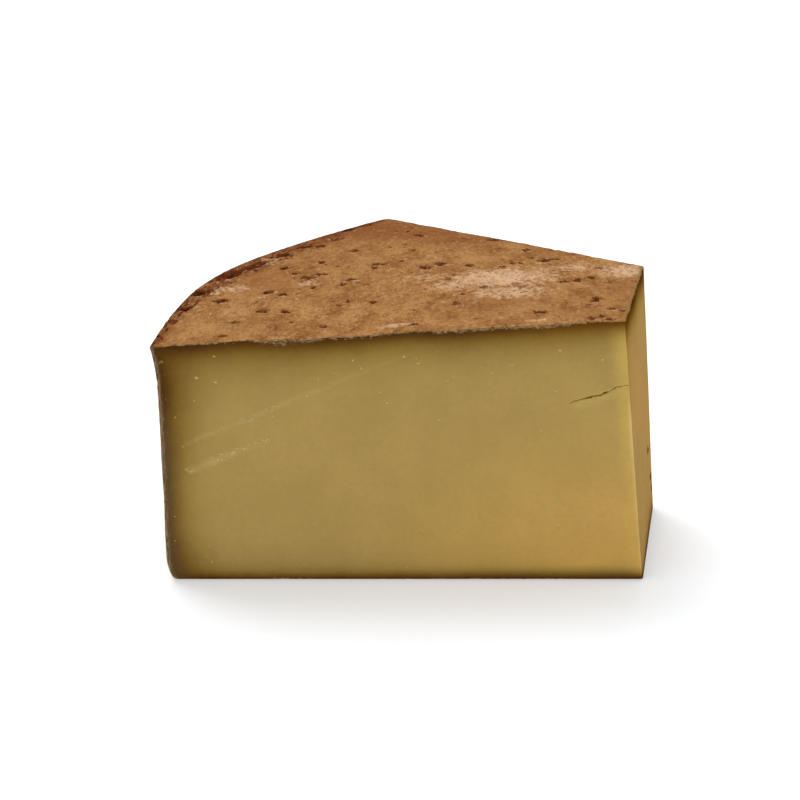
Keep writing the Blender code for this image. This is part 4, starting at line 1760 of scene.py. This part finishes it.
@dataclass
class EdgeFringe(LooseBits):
    """The crumbly fringe of rind along the top edge of the front cut, and flecks by the heel.

    Drop and inset are the shape and the size of the gamma draws that say how far a lump lies below
    the top edge, and a fleck inside the heel's edge.
    """

    name: str = "edge_fringe"
    seed: int = 71
    count: int = 560
    heel_flecks: int = 120
    drop: tuple[float, float] = (1.3, 0.28 * MM)
    inset: tuple[float, float] = (1.4, 0.6 * MM)
    stretch: tuple[float, float] = (1.5, 4.0)
    flatness: float = 0.4
    tone: tuple[float, float] = (0.62, 0.25)
    finish: CrumbFinish = CrumbFinish(
        "fringe_rind", 0.80, low=linear(96, 64, 30), high=linear(168, 136, 94), shine=0.03
    )

    def lumps(self, draw: np.random.Generator) -> Lumps:
        """Return the fringe and the flecks.

        Lumps are drawn along the edge with a chance that is a sum of bells, and lie deeper below
        the edge where the fringe is strong.

        Args:
            draw: The source of random draws.

        Returns:
            Where they lie.
        """
        form, count = self.shell.form, self.count
        share = np.linspace(form.nose_front + 0.002, form.radius - 0.003, 2000)
        chance = 0.2 + fringe_strength(share)
        pick = draw.choice(len(share), count, p=chance / chance.sum())
        radius, strength = share[pick], chance[pick]
        down = draw.gamma(*self.drop, count) * (0.4 + 0.9 * strength)
        edge = self.shell.top_points(radius, np.full(count, 0.0005))
        half = draw.uniform(*self.size, count)
        centres = columns(edge[:, 0], form.axis_y, edge[:, 2] - 0.1 * MM - down)
        centres[:, 1] += self.behind(centres, down) + self.shell.cut_gap(down + 0.15 * MM) + 0.40 * half
        sizes = self.sizes(half, draw)
        normals = np.array([0.0, -1.0, 0.15]) + draw.normal(0.0, 0.05, (count, 3))
        along = np.cross(normals, [0.0, 0.3, -1.0]) + draw.normal(0.0, 0.25, (count, 3))
        upright = unit(normals)
        along -= upright * (along * upright).sum(axis=1, keepdims=True)
        tones = draw.normal(*self.tone, count) - down / (2.5 * MM) - 0.5 * eased(radius, 0.300, 0.312)
        top_edge = Lumps(centres, normals, sizes, np.clip(tones, 0.0, 1.0), along)
        return top_edge.and_more(self.heel_edge(draw))

    def behind(self, points: Array, inset: Array) -> Array:
        """Return how far the front cut's relief lies back at points that are inset from its edge."""
        return -self.shell.cut_relief.outward(points, 1.0) * eased(inset, 0.0, self.shell.calm_edge)

    def heel_edge(self, draw: np.random.Generator) -> Lumps:
        """Return the pale flecks down the edge between the front cut and the heel.

        Args:
            draw: The source of random draws.

        Returns:
            Where they lie.
        """
        form, count = self.shell.form, self.heel_flecks
        height = draw.uniform(0.006, 0.112, count)
        half = draw.uniform(*self.size, count)
        inset = 0.5 * MM + draw.gamma(*self.inset, count)
        centres = form.place(form.heel(np.zeros(count), height) - inset, 0.0, height)
        centres[:, 1] += self.behind(centres, inset) + self.shell.cut_gap(inset) + 0.3 * half
        sizes = columns(0.6 * half, half * draw.uniform(1.0, 2.4, count), self.flatness * half)
        normal, along = np.array([-0.3, -1.0, 0.0]), np.array([-1.0, 0.3, 0.0])
        return Lumps(centres, normal, sizes, draw.uniform(0.5, 1.0, count), along)


@dataclass
class PasteCrystals(LooseBits):
    """Small pale crystals: named ones, as radius and height, and smaller ones on both cuts."""

    name: str = "paste_crystals"
    seed: int = 81
    ragged: float = 0.3
    places: Rows = (
        (0.2953, 0.1103), (0.2413, 0.1024), (0.2483, 0.0994), (0.2286, 0.1048), (0.2324, 0.1085),
        (0.3036, 0.1000), (0.2950, 0.0980), (0.2203, 0.0934), (0.2171, 0.0881), (0.2082, 0.0853),
        (0.2633, 0.0684), (0.3193, 0.1078), (0.2093, 0.1103), (0.2027, 0.1071), (0.1896, 0.0989),
        (0.1691, 0.1026), (0.1192, 0.1089), (0.1400, 0.0940), (0.1536, 0.0890), (0.1931, 0.0800),
        (0.1387, 0.1132), (0.1602, 0.1064), (0.1835, 0.0364), (0.2005, 0.0236), (0.1246, 0.0154),
        (0.1231, 0.0268), (0.1779, 0.0569), (0.2079, 0.0062),
    )
    extra: int = 70
    on_back: int = 60
    flatness: float = 0.22
    size: tuple[float, float] = (0.40 * MM, 0.80 * MM)
    finish: CrumbFinish = CrumbFinish("crystal", 0.45, low=linear(110, 84, 38), high=linear(188, 160, 94))

    def lumps(self, draw: np.random.Generator) -> Lumps:
        """Return the crystals of both cuts. Those near the top and the heel of the front are darker.

        Args:
            draw: The source of random draws.

        Returns:
            Where they lie.
        """
        form, named = self.shell.form, np.array(self.places)
        more = columns(draw.uniform(0.112, 0.318, self.extra), draw.uniform(0.006, 0.110, self.extra))
        radius, height = np.concatenate([named, more]).T
        count = len(radius)
        half = draw.uniform(*self.size, count) * np.where(np.arange(count) < len(named), 1.0, 0.5)
        centres, outward = self.shell.cut_points(radius, height)
        below_top = (form.top(radius, np.zeros(count)) - height) / (9 * MM)
        below = np.minimum(below_top, (form.radius - radius) / (12 * MM))
        sizes = self.sizes(half, draw)
        tones = draw.uniform(0.75, 1.0, count) - 1.3 * smooth(1.0 - below)
        front = Lumps(centres, outward, sizes, tones, np.array([1.0, 0.0, 0.0]))
        count = self.on_back
        radius, height = draw.uniform(0.145, 0.312, count), draw.uniform(0.008, 0.106, count)
        half = draw.uniform(*self.size, count) * draw.uniform(0.5, 1.0, count)
        centres, outward = self.shell.cut_points(radius, height, back=True)
        sizes, along = self.sizes(half, draw), np.cross(outward, [0.0, 0.0, 1.0])
        return front.and_more(Lumps(centres, outward, sizes, draw.uniform(0.2, 1.0, count), along))


@dataclass
class KnifeMarks(LooseBits):
    """The crumbs that the knife dragged up along its two scratches on the front cut.

    Each line has its bunches as share of the way, spread along the line, spread across and count.
    """

    name: str = "knife_crumbs"
    seed: int = 91
    stretch: tuple[float, float] = (1.4, 3.4)
    flatness: float = 0.25
    tone: tuple[float, float] = (0.55, 0.25)
    lines: tuple[tuple[CutLine, Rows], ...] = (
        (LONG_SCRATCH, (
            (0.29, 0.035, 0.8 * MM, 30), (0.39, 0.020, 0.6 * MM, 8), (0.53, 0.020, 0.5 * MM, 12),
            (0.30, 0.150, 0.5 * MM, 8),
        )),
        (SHORT_SCRATCH, (
            (0.06, 0.030, 0.6 * MM, 8), (0.40, 0.130, 1.5 * MM, 20), (0.70, 0.110, 1.1 * MM, 34),
            (1.00, 0.080, 1.4 * MM, 24),
        )),
    )
    finish: CrumbFinish = CrumbFinish(
        "knife_crumb", 0.50, low=linear(164, 138, 76), high=linear(198, 172, 111)
    )

    def lumps(self, draw: np.random.Generator) -> Lumps:
        """Return the crumbs.

        Args:
            draw: The source of random draws.

        Returns:
            Where they lie.
        """
        bunches = []
        for line, rows in self.lines:
            slope = np.array(line.end) - np.array(line.start)
            for middle, spread, across, count in rows:
                radius, height = line.points(np.clip(draw.normal(middle, spread, count), 0.0, 1.1))
                bunches.append(columns(radius, height + draw.normal(0.0, across, count), *slope))
        radius, height, run, rise = np.concatenate(bunches).T
        count = len(radius)
        half = draw.uniform(*self.size, count)
        centres, outward = self.shell.cut_points(radius, height)
        centres[:, 1] += 0.05 * half
        sizes = self.sizes(half, draw)
        along = unit(columns(-run, 0.0, rise))
        along[:, 2] += draw.normal(0.0, 0.5, count)
        return Lumps(centres, outward, sizes, self.shades(count, draw), along)


@dataclass
class RindFlakes(LooseBits):
    """Loose dry flakes on the top, thickest where the rind is pale."""

    name: str = "rind_flakes"
    seed: int = 61
    count: int = 520
    size: tuple[float, float] = (0.18 * MM, 0.50 * MM)
    stretch: tuple[float, float] = (0.9, 1.8)
    finish: CrumbFinish = CrumbFinish(
        "rind_flake", 0.80, low=linear(120, 74, 40), high=linear(190, 150, 110)
    )

    def lumps(self, draw: np.random.Generator) -> Lumps:
        """Return the flakes.

        Places are drawn evenly over the top and kept with a chance that grows with the bloom.

        Args:
            draw: The source of random draws.

        Returns:
            Where they lie.
        """
        form, many = self.shell.form, self.count * 4
        radius = np.sqrt(draw.uniform(0.125**2, 0.321**2, many))
        angle = draw.uniform(0.006, form.angle - 0.012, many)
        inside = radius > form.nose(angle, 1.0) + 1.5 * MM
        bloomed = self.shell.top_relief.bloomed(form.place(radius, angle, 0.0))
        kept = np.flatnonzero(inside & (draw.random(many) < 0.25 + 0.75 * bloomed))[: self.count]
        radius, angle, count = radius[kept], angle[kept], len(kept)
        half = draw.uniform(*self.size, count)
        centres = self.shell.top_points(radius, angle)
        centres[:, 2] += 0.05 * half
        sizes = self.sizes(half, draw)
        normals = np.array([0.0, 0.0, 1.0]) + draw.normal(0.0, 0.2, (count, 3))
        return Lumps(centres, normals, sizes, self.shades(count, draw))


@dataclass(frozen=True)
class PhotoCamera:
    """A camera at the photograph's viewing angle."""

    aim: tuple[float, float, float] = (-0.0081, -0.11985, 0.0896)
    elevation: float = math.radians(19.12)
    distance: float = 0.9128
    lens: float = 90.0
    sensor_width: float = 36.0

    def build(self) -> None:
        """Place the camera on the line back from the aim and make it the scene's own."""
        data = bpy.data.cameras.new("photo_camera")
        data.lens = self.lens
        data.sensor_width = self.sensor_width
        camera = bpy.data.objects.new("photo_camera", data)
        back = Vector((0.0, -math.cos(self.elevation), math.sin(self.elevation)))
        camera.location = Vector(self.aim) + back * self.distance
        camera.rotation_euler = back.to_track_quat("Z", "Y").to_euler()
        bpy.context.scene.collection.objects.link(camera)
        bpy.context.scene.camera = camera


@dataclass(frozen=True)
class Studio:
    """A pale floor under even light, with a soft sun from behind on the left."""

    sky: float = 0.78
    sun: float = 1.30
    floor_glow: float = 0.20
    floor_rough: float = 0.9
    sun_from: tuple[float, float, float] = (-0.32, 0.60, 1.08)
    sun_spread: float = math.radians(38.0)
    floor_size: float = 12.0
    floor_tone: Colour = (0.90, 0.93, 0.965)
    white: Colour = (1.0, 1.0, 1.0)

    def build(self) -> None:
        """Make the sky, the sun and the floor."""
        scene = bpy.context.scene
        scene.view_settings.view_transform = "Standard"
        scene.world = bpy.data.worlds.new("studio")
        scene.world.use_nodes = True
        sky = scene.world.node_tree
        Shading(sky).fill(sky.nodes["Background"], {"Color": self.white, "Strength": self.sky})
        light = bpy.data.lights.new("soft_sun", "SUN")
        light.energy = self.sun
        light.angle = self.sun_spread
        lamp = bpy.data.objects.new("soft_sun", light)
        lamp.rotation_euler = Vector(self.sun_from).to_track_quat("Z", "Y").to_euler()
        scene.collection.objects.link(lamp)
        self.floor()

    def floor(self) -> bpy.types.Object:
        """Return the floor.

        Returns:
            A square in the plane that the cheese stands on.
        """
        corners = np.array([[-1.0, -1.0, 0.0], [1.0, -1.0, 0.0], [1.0, 1.0, 0.0], [-1.0, 1.0, 0.0]])
        floor = new_mesh_object("studio_floor", corners * self.floor_size / 2.0, [[0, 1, 2, 3]])
        material, make, shader = new_material("studio_floor")
        make.fill(shader, {
            "Base Color": self.floor_tone,
            "Roughness": self.floor_rough,
            "Specular IOR Level": 0.0,
            "Emission Color": self.white,
            "Emission Strength": self.floor_glow,
        })
        floor.data.materials.append(material)
        return floor


def main() -> None:
    """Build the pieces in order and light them."""
    logging.basicConfig(level=logging.INFO, format="%(name)s: %(message)s")
    effects = Effects()
    form = WedgeForm.from_frame()
    shell = WedgeShell(form, TopRelief(form), CutRelief(form))
    body = CheeseWedge(form, shell).build(effects)
    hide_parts(NODE)
    loose = [maker(shell).build(effects) for maker in (EdgeFringe, PasteCrystals, KnifeMarks, RindFlakes)]
    for piece in (body, *loose):
        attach(piece, BODY)
        LOG.info("%s has %d faces", piece.name, len(piece.data.polygons))
    PhotoCamera().build()
    Studio().build()


if __name__ == "__main__":
    main()
